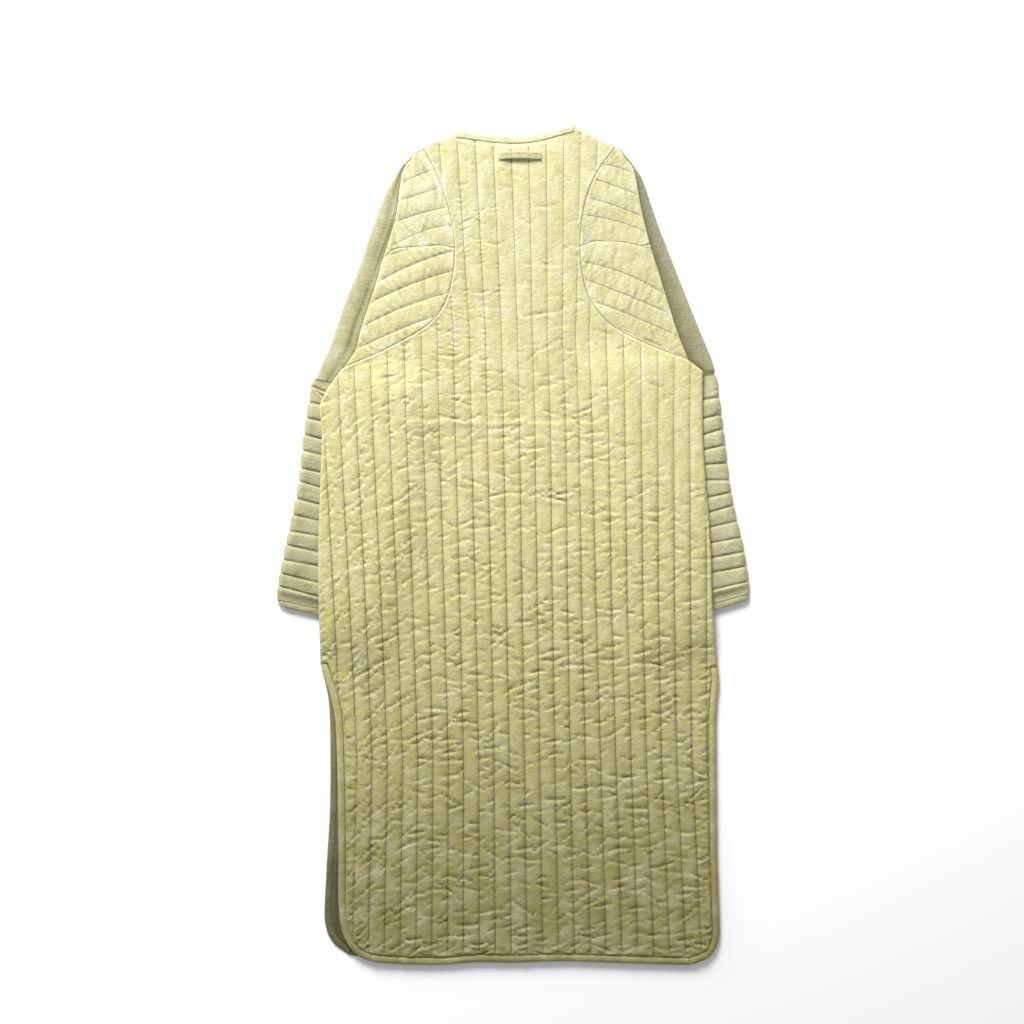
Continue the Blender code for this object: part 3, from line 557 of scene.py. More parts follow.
def velvet(name, tone=1.0, pale_sheen=0.0, with_stitches=True):
    """Velvet: a mottled nap painted darker towards the hem for light that falls off from above, painted sheen in
    patches, soft sheen and a fine pile.
    """
    made = bpy.data.materials.new(name)
    made.use_nodes = True
    nodes, links = made.node_tree.nodes, made.node_tree.links
    surface = nodes["Principled BSDF"]
    place = nodes.new("ShaderNodeTexCoord")
    split = nodes.new("ShaderNodeSeparateXYZ")
    links.new(place.outputs["Object"], split.inputs[0])
    # Painted shade: the colour darkens towards the hem, for light that falls off from above
    length = nodes.new("ShaderNodeMapRange")
    length.inputs["From Min"].default_value = VELVET_SHADE_ROWS[0][0]
    length.inputs["From Max"].default_value = VELVET_SHADE_ROWS[-1][0]
    links.new(split.outputs["Y"], length.inputs["Value"])
    ground = nodes.new("ShaderNodeValToRGB")
    ground.color_ramp.interpolation = "B_SPLINE"
    span = VELVET_SHADE_ROWS[-1][0] - VELVET_SHADE_ROWS[0][0]
    while len(ground.color_ramp.elements) < len(VELVET_SHADE_ROWS):
        ground.color_ramp.elements.new(0.5)
    for stop, (y, colour) in zip(ground.color_ramp.elements, VELVET_SHADE_ROWS):
        stop.position = (y - VELVET_SHADE_ROWS[0][0]) / span
        # Each colour stop is paled towards the painted sheen colour by the given share
        stop.color = (*(tone * (c + pale_sheen * (f - c)) for c, f in zip(colour, VELVET_SHEEN_PALE)), 1)
    links.new(length.outputs[0], ground.inputs[0])
    # Painted sheen in soft random patches
    mist = nodes.new("ShaderNodeTexNoise")
    mist.inputs["Scale"].default_value = 38
    mist.inputs["Detail"].default_value = 4
    links.new(place.outputs["Object"], mist.inputs["Vector"])
    sheen_patch = nodes.new("ShaderNodeMapRange")
    sheen_patch.inputs["From Min"].default_value = 0.45
    sheen_patch.inputs["From Max"].default_value = 0.75
    sheen_patch.inputs["To Max"].default_value = 0.3
    links.new(mist.outputs[0], sheen_patch.inputs["Value"])
    sheen_patched = colour_node(nodes, links, None, ((0, 0, 0), tuple(tone * c for c in VELVET_SHEEN_PATCHES)), sheen_patch.outputs[0])
    links.new(ground.outputs[0], sheen_patched.inputs[6])

    stretch = nodes.new("ShaderNodeMapping")
    stretch.inputs["Scale"].default_value = (1.5, 1.0, 1.0)
    links.new(place.outputs["Object"], stretch.inputs[0])
    blotch = nodes.new("ShaderNodeTexNoise")
    blotch.inputs["Scale"].default_value = 55
    blotch.inputs["Detail"].default_value = 5
    blotch.inputs["Roughness"].default_value = 0.62
    links.new(stretch.outputs[0], blotch.inputs["Vector"])
    spread = nodes.new("ShaderNodeMapRange")
    spread.inputs["From Min"].default_value = 0.42
    spread.inputs["From Max"].default_value = 0.72
    spread.inputs["To Max"].default_value = 0.42
    links.new(blotch.outputs[0], spread.inputs["Value"])
    shade = colour_node(nodes, links, None, ((0, 0, 0), tuple(tone * c for c in VELVET_DEEP)), spread.outputs[0])
    links.new(sheen_patched.outputs[2], shade.inputs[6])
    last = shade
    # Painted sheen and painted shade, laid on from the pieces' point attributes
    if with_stitches:
        for key, colour in (("pale_sheen", VELVET_SHEEN_PALE), ("groove_shade", THREAD_AND_SHADE)):
            value = nodes.new("ShaderNodeAttribute")
            value.attribute_name = key
            mixed = colour_node(nodes, links, None, ((0, 0, 0), colour), value.outputs["Fac"])
            links.new(last.outputs[2], mixed.inputs[6])
            last = mixed
    surface.inputs["Roughness"].default_value = 0.82
    surface.inputs["Specular IOR Level"].default_value = 0.25
    surface.inputs["Sheen Weight"].default_value = 0.3
    surface.inputs["Sheen Roughness"].default_value = 0.45
    surface.inputs["Sheen Tint"].default_value = (0.95, 0.93, 0.72, 1)

    pile = nodes.new("ShaderNodeTexNoise")
    pile.inputs["Scale"].default_value = 900
    pile.inputs["Detail"].default_value = 3
    links.new(place.outputs["Object"], pile.inputs["Vector"])
    grain = nodes.new("ShaderNodeMapRange")
    grain.inputs["From Min"].default_value = 0.4
    grain.inputs["From Max"].default_value = 0.7
    grain.inputs["To Max"].default_value = 0.3
    links.new(pile.outputs[0], grain.inputs["Value"])
    speckled = colour_node(nodes, links, surface.inputs["Base Color"],
                           ((0, 0, 0), tuple(tone * c for c in VELVET_DEEP)), grain.outputs[0])
    links.new(last.outputs[2], speckled.inputs[6])
    lumps = nodes.new("ShaderNodeTexNoise")
    lumps.inputs["Scale"].default_value = 210
    lumps.inputs["Detail"].default_value = 3
    links.new(place.outputs["Object"], lumps.inputs["Vector"])
    fine = nodes.new("ShaderNodeBump")
    fine.inputs["Distance"].default_value = 0.0005
    fine.inputs["Strength"].default_value = 0.6
    links.new(pile.outputs[0], fine.inputs["Height"])
    coarse = nodes.new("ShaderNodeBump")
    coarse.inputs["Distance"].default_value = 0.0012
    coarse.inputs["Strength"].default_value = 0.9
    links.new(lumps.outputs[0], coarse.inputs["Height"])
    links.new(fine.outputs[0], coarse.inputs["Normal"])
    links.new(coarse.outputs[0], surface.inputs["Normal"])
    return made


BODY = velvet("velvet")
LIT = velvet("velvet_lit", tone=0.7)
SHADED = velvet("velvet_shaded", tone=0.5)
# Forearm velvet by side: the right is painted lighter than the left, painted light against the key light from the
# left
FOREARM_SIDE_LIT = {"left": velvet("velvet_forearm_left", tone=0.7, pale_sheen=0.22),
           "right": velvet("velvet_forearm_right", tone=0.86, pale_sheen=0.22)}
PLAIN = velvet("velvet_plain", tone=0.82, with_stitches=False)
BINDING = velvet("velvet_binding", tone=0.92, with_stitches=False)
# Velvet painted darker for the fronts, sleeve fronts and their bindings: painted shade where they lie under the back
BINDING_SHADED_BELOW = velvet("velvet_binding_shaded_below", tone=0.44, with_stitches=False)
SHADED_BELOW = velvet("velvet_shaded_below", tone=0.3)
CUFF = {"left": velvet("velvet_cuff_left", tone=0.66, pale_sheen=0.2, with_stitches=False),
        "right": velvet("velvet_cuff_right", tone=0.76, pale_sheen=0.2, with_stitches=False)}


def cross_folds(x, y):
    """The long creases that run across several channels where the coat was folded."""
    height = 0 * x
    for x_from, x_to, y_from, y_to, deep in CROSS_FOLDS:
        share = (x - x_from) / (x_to - x_from)
        line = y_from + (y_to - y_from) * share + 1.6 * np.sin(x / 13 + y_from)
        down = line - y
        inside = smooth(share / 0.12) * smooth((1 - share) / 0.12)
        height += deep * inside * (0.7 * np.exp(-((down - 5) / 4.5) ** 2) - np.exp(-(down / 2.4) ** 2))
    return height


def back_busy(x, y):
    """How thickly the puckers lie: few near the shoulders, many towards the hem."""
    busy = 0.35 + 0.65 * smooth((330 - y) / 200)
    return busy * (1 - 0.65 * smooth((x - 120) / 60) * smooth((y - 60) / 60))


def back_lean(x, y):
    """How much the puckers rise to the right: most along the left side."""
    return 0.14 + 0.85 * smooth((-x - 90) / 120) * smooth((260 - y) / 120)


def ripple_place(x, y):
    """Where the channels ripple finely beside their stitch lines: left of the middle, below the shoulders."""
    near = smooth((x + 200) / 30) * smooth((20 - x) / 90) * smooth((y - 120) / 80) * smooth((520 - y) / 60)
    return 0.8 * near


def make_back():
    outline = rounded(outline_of("back"), OUTLINE_STEP)
    base = Surface("back")
    low, high = outline[:, 1].min(), outline[:, 1].max()
    numbers = np.arange(-LINES_EACH_SIDE, LINES_EACH_SIDE)
    pinches = Pinches(numbers[0], numbers[-1], low, high, 17, (11.0, 24.0),
                      lambda number, y: back_lean(line_x(number, y), y),
                      lambda number, y: back_busy(line_x(number, y), y))

    ripples = Pinches(numbers[0], numbers[-1], low, high, 19, (6.0, 11.0), lambda number, y: 0.1,
                      lambda number, y: ripple_place(line_x(number, y), y), reach=(0.2, 0.5), root=1.5, tip=1.0)

    def spread(columns, step):
        rows = np.arange(low, high, step)
        places = np.concatenate([k + np.array(columns) for k in numbers])
        return np.stack([line_x(places[None], rows[:, None]), np.repeat(rows[:, None], len(places), 1)], 2)

    rings = inset_rings(outline, RINGS)
    more = inset_rings(outline, BINDING_RINGS)
    rings = np.vstack([rings, more[more[:, 1] < BINDING_TOP]])
    lines = spread([0], LINE_STEP).reshape(-1, 2)
    found = [form.spots(22.0) for form in (pinches, ripples)]
    spots = np.vstack([np.column_stack([line_x(channel, along), along]) for channel, along in found])
    grid = spread(COLUMNS, ROW_STEP).reshape(-1, 2)
    inner = rings
    sides = spread(SIDE_COLUMNS, SIDE_STEP).reshape(-1, 2)
    for points, gap in ((lines, 0.7), (sides, 0.4), (spots, 0.4), (grid, 1.15)):
        points = points[np.abs(points[:, 0]) < 295]
        points = points[edge_distance(outline, points) > RINGS[-1]]
        inner = np.vstack([inner, thinned(points, inner, gap)])

    def top(points):
        x, y = points.T
        depth = np.maximum(edge_distance(outline, points), 0)
        at_binding = np.min([np.abs(edge_distance(line, points)) for line in BINDING_OUTLINES], axis=0)
        at_neck = np.abs(edge_distance(NECK_OUTLINE, points))
        at_seam = np.min([np.abs(edge_distance(line, points)) for line in SEAM_OUTLINES], axis=0)
        channel = channel_of(points)
        across = channel - np.floor(channel)
        from_line = np.minimum(across, 1 - across)
        dome = flat_crown(across)
        roll = np.sqrt(1 - (1 - np.clip(depth / EDGE_ROLL, 0, 1)) ** 2)
        roll = np.maximum(roll, 1 - smooth(at_neck / 7))
        busy = back_busy(x, y)
        puffs = 1 + 0.12 * wander(np.column_stack([np.floor(channel) * 300, y]), (50, 40), 5)
        swell = 0.6 * wander(points, (70, 50), 8)
        height, shade = pinches.relief(channel, y, 22.0)
        fine, fine_shade = ripples.relief(channel, y, 22.0)
        strength = (0.4 + 0.6 * busy) * (1 - 0.3 * smooth((y + 170) / 150))
        folds = 2.2 * strength * height + 0.8 * fine
        folds += creases(points, channel, y, 0.4 * busy, 18, spacing=70.0, reach=(1.5, 4))
        folds += cross_folds(x, y)
        crinkle = wander(points, (7, 4.0), 81) * smooth((17 - at_binding) / 6)
        crown = BODY_CROWN * (0.6 + 0.4 * smooth((330 - y) / 260))
        relief = crown * dome * puffs + (0.65 + 0.35 * dome) * (folds + 1.2 * crinkle) + swell * dome
        rim = (0.9 - 0.5 * smooth(x / 40)) * np.exp(-((at_seam - 2.0) / 1.9) ** 2)
        rim += 0.7 * np.exp(-((at_neck - 16) / 2.2) ** 2)
        drop = 0.55 - 0.4 * smooth((9 - np.minimum(at_binding, at_seam)) / 4)
        heights = base(points) + EDGE_WALL * (1 - drop * (1 - roll)) + np.maximum(relief, -1.6) * roll + rim
        # Painted shade: in the stitch lines' grooves, darker lower down, and in the crease valleys
        lower = smooth((240 - y) / 260)
        groove_shade = np.where(from_line < 0.01, 0.62 + 0.33 * lower, np.where(from_line < 0.05, 0.16 * lower, 0.0))
        groove_shade = groove_shade * (depth > 1)
        dark = 0.52 * strength * np.clip(shade, 0, 1.2) + 0.2 * np.clip(fine_shade, 0, 1.2)
        groove_shade = np.maximum(groove_shade, dark * smooth(depth / 4))
        # Painted sheen: pale streaks along the channels of the upper back, rims beside the sleeve seams, pale edges
        # at the top
        streak = smooth((wander(np.column_stack([channel * 22, y]), (8, 48), 91) - 0.15) / 0.6)
        streak *= 0.45 + 0.55 * smooth((0.3 - from_line) / 0.3)
        upper = smooth((y + 60) / 260) * (0.45 + 0.55 * smooth((90 - np.abs(x + 70)) / 80))
        pale_sheen = 0.38 * streak * upper + 0.22 * np.exp(-(at_seam / 2.6) ** 2) + 0.3 * np.exp(-depth / 9) * (y > 500)
        return heights, {"groove_shade": groove_shade, "pale_sheen": np.clip(pale_sheen, 0, 0.7)}

    return closed_panel("back_shell", "back", outline, inner, top, base, BODY, {})


def make_sleeve_back(part, side):
    node = f"sleeve_back_{part}_{side}"
    outline = outline_of(node)
    if part == "upper":
        outline[np.argmin(np.linalg.norm(outline - FOLD[side][0], axis=1))] = SHOULDER_TIP[side]
    outline = rounded(outline, OUTLINE_STEP)
    base = Surface(node)
    lines = SLEEVE_STITCHES[side]
    xs = np.arange(outline[:, 0].min(), outline[:, 0].max(), SLEEVE_STEP)
    ys = line_heights(lines, xs)
    ys = np.vstack([ys[:1] + 60, ys[:1] + 30, ys, ys[-1:] - 25, ys[-1:] - 50])
    levels = np.concatenate([k + np.array(SLEEVE_COLUMNS) for k in range(len(ys) - 1)])
    grid = np.array([(x, np.interp(level, np.arange(len(ys)), ys[:, i]))
                     for i, x in enumerate(xs) for level in levels])
    inner = inside_points(outline, grid)
    lean = 0.5 if side == "left" else -0.3
    pinches = Pinches(0, len(ys), outline[:, 0].min(), outline[:, 0].max(), 31, (7.0, 17.0),
                      lambda number, x: lean, lambda number, x: 0.75 if side == "left" else 0.5)
    ticks = Pinches(0, len(ys), outline[:, 0].min(), outline[:, 0].max(), 37, (5.0, 10.0),
                    lambda number, x: 0.0, lambda number, x: 0.8, reach=(0.3, 0.9), root=1.5, tip=1.2)

    def top(points):
        x, y = points.T
        depth = np.maximum(edge_distance(outline, points), 0)
        rows = line_heights(lines, x)
        rows = np.vstack([rows[:1] + 60, rows[:1] + 30, rows, rows[-1:] - 25, rows[-1:] - 50])
        channel = np.array([np.interp(-y[i], -rows[:, i], np.arange(len(rows))) for i in range(len(y))])
        across = channel - np.floor(channel)
        from_line = np.minimum(across, 1 - across)
        dome = flat_crown(across)
        roll = np.sqrt(1 - (1 - np.clip(depth / EDGE_ROLL, 0, 1)) ** 2)
        height, shade = pinches.relief(channel, x, 28.0)
        tick, tick_shade = ticks.relief(channel, x, 28.0)
        folds = (1.0 if side == "left" else 0.7) * height + 0.5 * tick
        folds += creases(points, channel, x, 0.7 + 0 * x, 33, spacing=24.0, reach=(1.0, 3.2), lean=0.0)
        swell = 0.5 * wander(points, (40, 34), 9)
        relief = (SLEEVE_CROWN[f"{part}_{side}"] + swell) * dome + (0.6 + 0.4 * dome) * folds
        heights = base(points) + EDGE_WALL * (0.95 + 0.05 * roll) + np.maximum(relief, -1.2) * roll
        # Painted shade in the stitch lines' grooves and in the crease valleys
        groove_shade = np.where(from_line < 0.012, 0.6, 0.0) * (depth > 1)
        dark = 0.25 * np.clip(shade, 0, 1.2) + 0.12 * np.clip(tick_shade, 0, 1.2)
        groove_shade = np.maximum(groove_shade, dark * smooth(depth / 4))
        # Painted sheen in soft patches, strongest near the edges and beside the stitch lines, and over the upper left
        # panel
        patch = smooth((wander(points, (14, 11), 92) + 0.1) / 0.8)
        pale_sheen = patch * (0.05 + 0.35 * np.exp(-depth / 9)) + 0.12 * smooth((0.1 - from_line) / 0.1)
        if node == "sleeve_back_upper_left":
            pale_sheen += 0.08 + 0.12 * patch
        return heights, {"groove_shade": groove_shade, "pale_sheen": np.clip(pale_sheen, 0, 0.6)}

    return closed_panel(f"{node}_shell", node, outline, inner, top, base, BODY, {})


def make_strip(side):
    """The plain outer strip of a sleeve top: it sinks beside the fold, swells and falls to the outer edge."""
    node = f"sleeve_top_{side}"
    outline = rounded(outline_of(node), OUTLINE_STEP)
    low, high = outline.min(0), outline.max(0)
    step = 2.4
    grid = np.array([(x, y) for x in np.arange(low[0], high[0], step) for y in np.arange(low[1], high[1], step)])
    grid = inside_points(outline, grid)
    fold, outer = np.array(FOLD[side], float)[::-1], np.array(SILHOUETTE[side], float)[::-1]
    profile = np.array(STRIP_PROFILE[side])

    def top(points):
        x, y = points.T
        start = np.interp(y, fold[:, 1], fold[:, 0])
        end = np.interp(y, outer[:, 1], outer[:, 0])
        share = np.clip((x - start) / (end - start), 0, 1)
        heights = sum(np.interp(np.clip(share + d, 0, 1), *profile.T) for d in (-0.05, 0, 0.05)) / 3
        depth = np.maximum(edge_distance(outline, points), 0)
        outside = end - x if side == "right" else x - end
        roll = np.sqrt(1 - (1 - np.clip(outside / 4.5, 0, 1)) ** 2)
        folds = creases(points, share * 3, y, 0.9 + 0 * x, 53, spacing=42.0, reach=(0.8, 2.6), lean=0.25)
        heights = heights + 0.5 * wander(points, (16, 60), 12) + folds
        heights = np.maximum(heights, 1.5) * (0.3 + 0.7 * roll)
        heights = 1.5 + (heights - 1.5) * smooth((SHOULDER_TIP[side][1] - 4 - y) / 26)
        # Painted sheen towards the outer edge and in streaks on the left; painted shade beside the fold and along a
        # second fold line
        from_fold = np.abs(x - start)
        pale_sheen = 0.25 * np.exp(-np.maximum(outside, 0) / 8)
        if side == "left":
            pale_sheen += 0.2 * smooth((wander(points, (7, 40), 93) - 0.1) / 0.6)
            second = from_fold - 3 - 9 * smooth((470 - y) / 200)
            shown = smooth((475 - y) / 30) * smooth((y - 262) / 30)
            groove_shade = 0.5 * np.exp(-(second / 1.9) ** 2) * shown + 0.1 * np.exp(-(from_fold / 8) ** 2)
            heights += 0.8 * np.exp(-((second - 3) / 2.0) ** 2) * shown
        else:
            groove_shade = 0.45 * np.exp(-(from_fold / 12) ** 2)
        return heights, {"groove_shade": groove_shade, "pale_sheen": pale_sheen}

    def floor_of(points):
        return np.zeros(len(points))

    finish = SHADED if side == "right" else LIT
    return closed_panel(f"{node}_shell", node, outline, grid, top, floor_of, finish, {})


def even(line, count):
    """A line drawn with evenly spaced points, smoothed between its rows."""
    line = np.array(line, float)
    along = np.concatenate([[0], np.cumsum(np.linalg.norm(np.diff(line, axis=0), axis=1))])
    fine = np.linspace(0, along[-1], count)
    result = []
    for axis in range(2):
        slopes = np.gradient(line[:, axis], along)
        place = np.clip(np.searchsorted(along, fine, side="right") - 1, 0, len(along) - 2)
        h = along[place + 1] - along[place]
        t = (fine - along[place]) / h
        a, b = line[place, axis], line[place + 1, axis]
        result.append(a * (1 + 2 * t) * (1 - t) ** 2 + b * t * t * (3 - 2 * t)
                      + h * (slopes[place] * t * (1 - t) ** 2 - slopes[place + 1] * t * t * (1 - t)))
    return np.column_stack(result)


def rib_of(side, points):
    """Which rib of the lower sleeve each point lies in, counted down with fractions."""
    x, y = points.T
    outer = np.array(LOWER_OUTER[side], float)[::-1]
    rows = []
    for y_outer, y_body in RIB_LINES[side]:
        x_outer = np.interp(y_outer, outer[:, 1], outer[:, 0])
        share = (x - x_outer) / (BODY_EDGE_X[side] - x_outer)
        rows.append(y_outer + (y_body - y_outer) * share)
    rows = np.array(rows)
    rows = np.vstack([rows[:1] + 33, rows, rows[-1:] - 26, rows[-1:] - 60])
    return np.array([np.interp(-y[i], -rows[:, i], np.arange(len(rows))) for i in range(len(y))])


def cuff_shaped(points, side):
    """Points in mm with the open end drawn in a little and its outer corner rounded."""
    corner, up, along = (np.array(p) for p in CUFF_CORNER[side])
    flat = points[:, :2].copy()
    outward = []
    for other, toward in ((up, corner - along), (along, corner - up)):
        way = (other - corner) / np.linalg.norm(other - corner)
        normal = np.array([way[1], -way[0]])
        outward.append(normal * np.sign(normal @ toward))
    side_way, end_way = outward
    from_end = -(flat - corner) @ end_way
    flat -= (CUFF_DRAWN_IN * smooth((36 - from_end) / 34))[:, None] * end_way
    from_end = -(flat - corner) @ end_way - CUFF_DRAWN_IN
    from_side = -(flat - corner) @ side_way
    to_end, to_side = CUFF_ROUND - from_end, CUFF_ROUND - from_side
    reach = np.hypot(to_end, to_side)
    over = (to_end > 0) & (to_side > 0) & (reach > CUFF_ROUND)
    back_in = np.where(over, 1 - CUFF_ROUND / np.maximum(reach, CUFF_ROUND), 0)
    flat -= (to_end * back_in)[:, None] * end_way + (to_side * back_in)[:, None] * side_way
    return np.column_stack([flat, points[:, 2]])


def make_lower_sleeve(side):
    """The flattened lower sleeve: a tube open at both ends, ribbed across, scalloped along its outer fold."""
    node = f"sleeve_lower_{side}"
    stations = 260
    outer, inner = even(LOWER_OUTER[side], stations), even(LOWER_INNER[side], stations)
    up = np.concatenate([[0, 0.006, 0.018, 0.035], np.linspace(0.055, 0.5, 24), np.linspace(0.56, 1, 7)])
    down = np.array([0.995, 0.9, 0.6, 0.3, 0.12, 0.03, 0.008])
    shares = np.concatenate([up, down])
    count = len(shares)
    flat = outer[:, None] + (inner - outer)[:, None] * shares[None, :, None]
    points = flat.reshape(-1, 2)
    rib = rib_of(side, points).reshape(stations, count)
    part = rib - np.floor(rib)
    ridge = (1 - np.exp(-part / 0.09)) * (1.05 - 0.45 * part) * (1 - np.exp(-(1 - part) / 0.05))
    last_line = len(RIB_LINES[side]) - 1
    band = np.clip(rib - last_line, 0, None)
    ridge = np.where(band > 0, (1 - np.exp(-band / 0.09)) * (1.05 - 0.45 * band), ridge)
    uneven = 1 + 0.3 * wander(np.column_stack([np.floor(rib).ravel() * 90, points[:, 0]]), (60, 25), 5)
    swell = 0.5 * wander(points, (26, 12), 6 if side == "left" else 7)
    creased = np.zeros(len(points))
    for x_from, x_to, y_from, y_to, deep in LOWER_FOLDS[side]:
        place = (points[:, 0] - x_from) / (x_to - x_from)
        below = y_from + (y_to - y_from) * place - points[:, 1]
        creased += deep * smooth(place / 0.3) * smooth((1.4 - place) / 0.4) * (
            0.8 * np.exp(-((below - 3.5) / 2.6) ** 2) - np.exp(-(below / 1.8) ** 2))
    creased = creased.reshape(stations, count)
    relief = 4.0 * ridge * uneven.reshape(stations, count) + swell.reshape(stations, count) * ridge
    relief = relief * smooth((rib - 0.15) / 1.2) * (1 - smooth((band - 0.25) / 0.75)) + creased
    width = np.linalg.norm(inner - outer, axis=1)[:, None]
    from_fold = shares[None] * width
    from_inner = (1 - shares[None]) * width
    is_up = (np.arange(count) < len(up))[None]
    round_off = np.sqrt(1 - (1 - np.clip(np.minimum(from_fold, from_inner) / 5.0, 0, 1)) ** 2)
    top = TUBE_HEIGHT * 0.5 + (TUBE_HEIGHT * 0.5 + relief * smooth(from_fold / 8) * (shares[None] < 0.55)) * round_off
    under = TUBE_HEIGHT * 0.5 * (1 - round_off)
    z = np.where(is_up, top, under)
    away = (outer - inner) / width
    push = (ridge - 0.72) * 4.4 * np.exp(-from_fold / 10)
    flat = flat + away[:, None] * push[..., None]
    rings = np.dstack([flat, z[..., None]])
    slit_shares = 0.035 + 0.93 * shares
    slit_flat = outer[:, None] + (inner - outer)[:, None] * slit_shares[None, :, None]
    slit_z = np.where(is_up, TUBE_WALL + TUBE_SLIT, TUBE_WALL) + 0 * z
    slit_stations = [0, stations // 3, 2 * stations // 3, stations - 1]
    slits = np.dstack([slit_flat, slit_z[..., None]])[slit_stations]
    faces = []
    for stack, first in ((stations, 0), (len(slit_stations), stations * count)):
        for ring in range(stack - 1):
            for i in range(count):
                after = (i + 1) % count
                start = first + ring * count
                faces.append((start + i, start + after, start + count + after, start + count + i))
    for ring, slit in ((0, 0), (stations - 1, len(slit_stations) - 1)):
        for i in range(count):
            after = (i + 1) % count
            a, b = ring * count, (stations + slit) * count
            faces.append((a + i, a + after, b + after, b + i))
    all_points = cuff_shaped(np.vstack([rings.reshape(-1, 3), slits.reshape(-1, 3)]), side)
    # Painted shade in the rib folds and in the small folds below the seam
    groove_shade = np.zeros(len(all_points))
    near = np.minimum(part, 1 - part)
    dark = np.exp(-(near / 0.05) ** 2) * np.where(band > 0.5, 0.35, 0.78)
    dark = np.maximum(dark, 0.3 * np.clip(-creased, 0, 2))
    groove_shade[:stations * count] = (dark * is_up).ravel()
    made = piece(f"{node}_shell", all_points, faces, FOREARM_SIDE_LIT[side], {"groove_shade": groove_shade})
    work = bmesh.new()
    work.from_mesh(made.data)
    bmesh.ops.recalc_face_normals(work, faces=work.faces)
    work.to_mesh(made.data)
    work.free()
    made.data.shade_smooth()
    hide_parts(node)
    return made


def make_loft(node, finish, levels, ripple, ripple_size, seed):
    """A finer copy of a lofted solid, rounded by subdivision, with small uneven swells."""
    form = welded(node)
    bmesh.ops.join_triangles(form, faces=form.faces, angle_face_threshold=0.5, angle_shape_threshold=3.1)
    sharp = form.edges.layers.float.new("crease_edge")
    for edge in form.edges:
        if len(edge.link_faces) == 2 and edge.calc_face_angle() > math.radians(75):
            edge[sharp] = 0.9
    mesh = bpy.data.meshes.new(f"{node}_form")
    form.to_mesh(mesh)
    form.free()
    made = bpy.data.objects.new(f"{node}_shell", mesh)
    bpy.context.scene.collection.objects.link(made)
    divide = made.modifiers.new("rounding", "SUBSURF")
    divide.levels = levels
    divide.render_levels = levels
    bpy.context.view_layer.update()
    graph = bpy.context.evaluated_depsgraph_get()
    fine = bpy.data.meshes.new_from_object(made.evaluated_get(graph))
    made.modifiers.clear()
    made.data = fine
    bpy.data.meshes.remove(mesh)
    fine.materials.clear()
    fine.materials.append(finish)
    fine.shade_smooth()
    points = np.array([v.co for v in fine.vertices]) / MM
    normals = np.array([v.normal for v in fine.vertices])
    amount = ripple * wander(points[:, :2], (ripple_size, ripple_size), seed)
    amount += 0.5 * ripple * wander(points[:, :2], (ripple_size / 2.3, ripple_size / 2.3), seed + 1)
    lifted = points + normals * (amount * np.clip(normals[:, 2] + 0.3, 0, 1))[:, None]
    lifted[:, 2] = np.maximum(lifted[:, 2], 0)
    if node.startswith("cuff"):
        lifted = cuff_shaped(lifted, node.split("_")[1])
    fine.vertices.foreach_set("co", (lifted * MM).ravel())
    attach(made, "root")
    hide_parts(node)
    return made


def make_under(node, step=7.0):
    """A panel on the floor below the others, quilted like the back where it has lengthwise channels."""
    outline = rounded(outline_of(node), 5.0)
    above = Surface(node, above=True, passes=3)
    below = Surface(node, passes=3)
    low, high = outline.min(0), outline.max(0)
    rows = np.arange(low[1], high[1], step)
    numbers = np.concatenate([k + np.array([0, 0.12, 0.5, 0.88]) for k in range(-LINES_EACH_SIDE, LINES_EACH_SIDE)])
    grid = np.stack([line_x(numbers[None], rows[:, None]), np.repeat(rows[:, None], len(numbers), 1)], 2)
    inner = inside_points(outline, grid.reshape(-1, 2), [2.0, 4.5])

    def top(points):
        depth = np.maximum(edge_distance(outline, points), 0)
        channel = channel_of(points)
        across = channel - np.floor(channel)
        roll = np.sqrt(1 - (1 - np.clip(depth / EDGE_ROLL, 0, 1)) ** 2)
        sunk = 1.1 * (1 - flat_crown(across)) + 0.4 * (1 + wander(points, (18, 9), 71)) / 2
        low_side, high_side = below(points), above(points)
        heights = low_side + (high_side - low_side) * (0.45 + 0.55 * roll) - sunk * roll
        # Painted shade in the stitch lines' grooves
        groove_shade = np.where(np.minimum(across, 1 - across) < 0.01, 0.6, 0.0) * (depth > 1)
        return heights, {"groove_shade": groove_shade}

    return closed_panel(f"{node}_shell", node, outline, inner, top, below, SHADED_BELOW, {})


def make_neck_band():
    """The narrow band along the back neck, level with the panel that it is sewn to."""
    node = "neck_band"
    outline = rounded(outline_of(node), 2.0)
    base = Surface(node, step=2.5)
    low, high = outline.min(0), outline.max(0)
    grid = np.array([(x, y) for x in np.arange(low[0], high[0], 2.2) for y in np.arange(low[1], high[1], 2.2)])
    inner = inside_points(outline, grid, [0.9, 1.8, 3.0])

    def top(points):
        depth = np.maximum(edge_distance(outline, points), 0)
        roll = np.sqrt(1 - (1 - np.clip(depth / 2.6, 0, 1)) ** 2)
        swell = 0.35 * wander(points, (13, 8), 64)
        heights = base(points) + 2.6 + (1.7 + swell) * roll
        # Painted sheen in soft random patches
        return heights, {"groove_shade": 0 * depth, "pale_sheen": 0.3 * (1 + wander(points, (16, 9), 65)) / 2}

    return closed_panel("neck_band_shell", node, outline, inner, top, base, BODY, {})


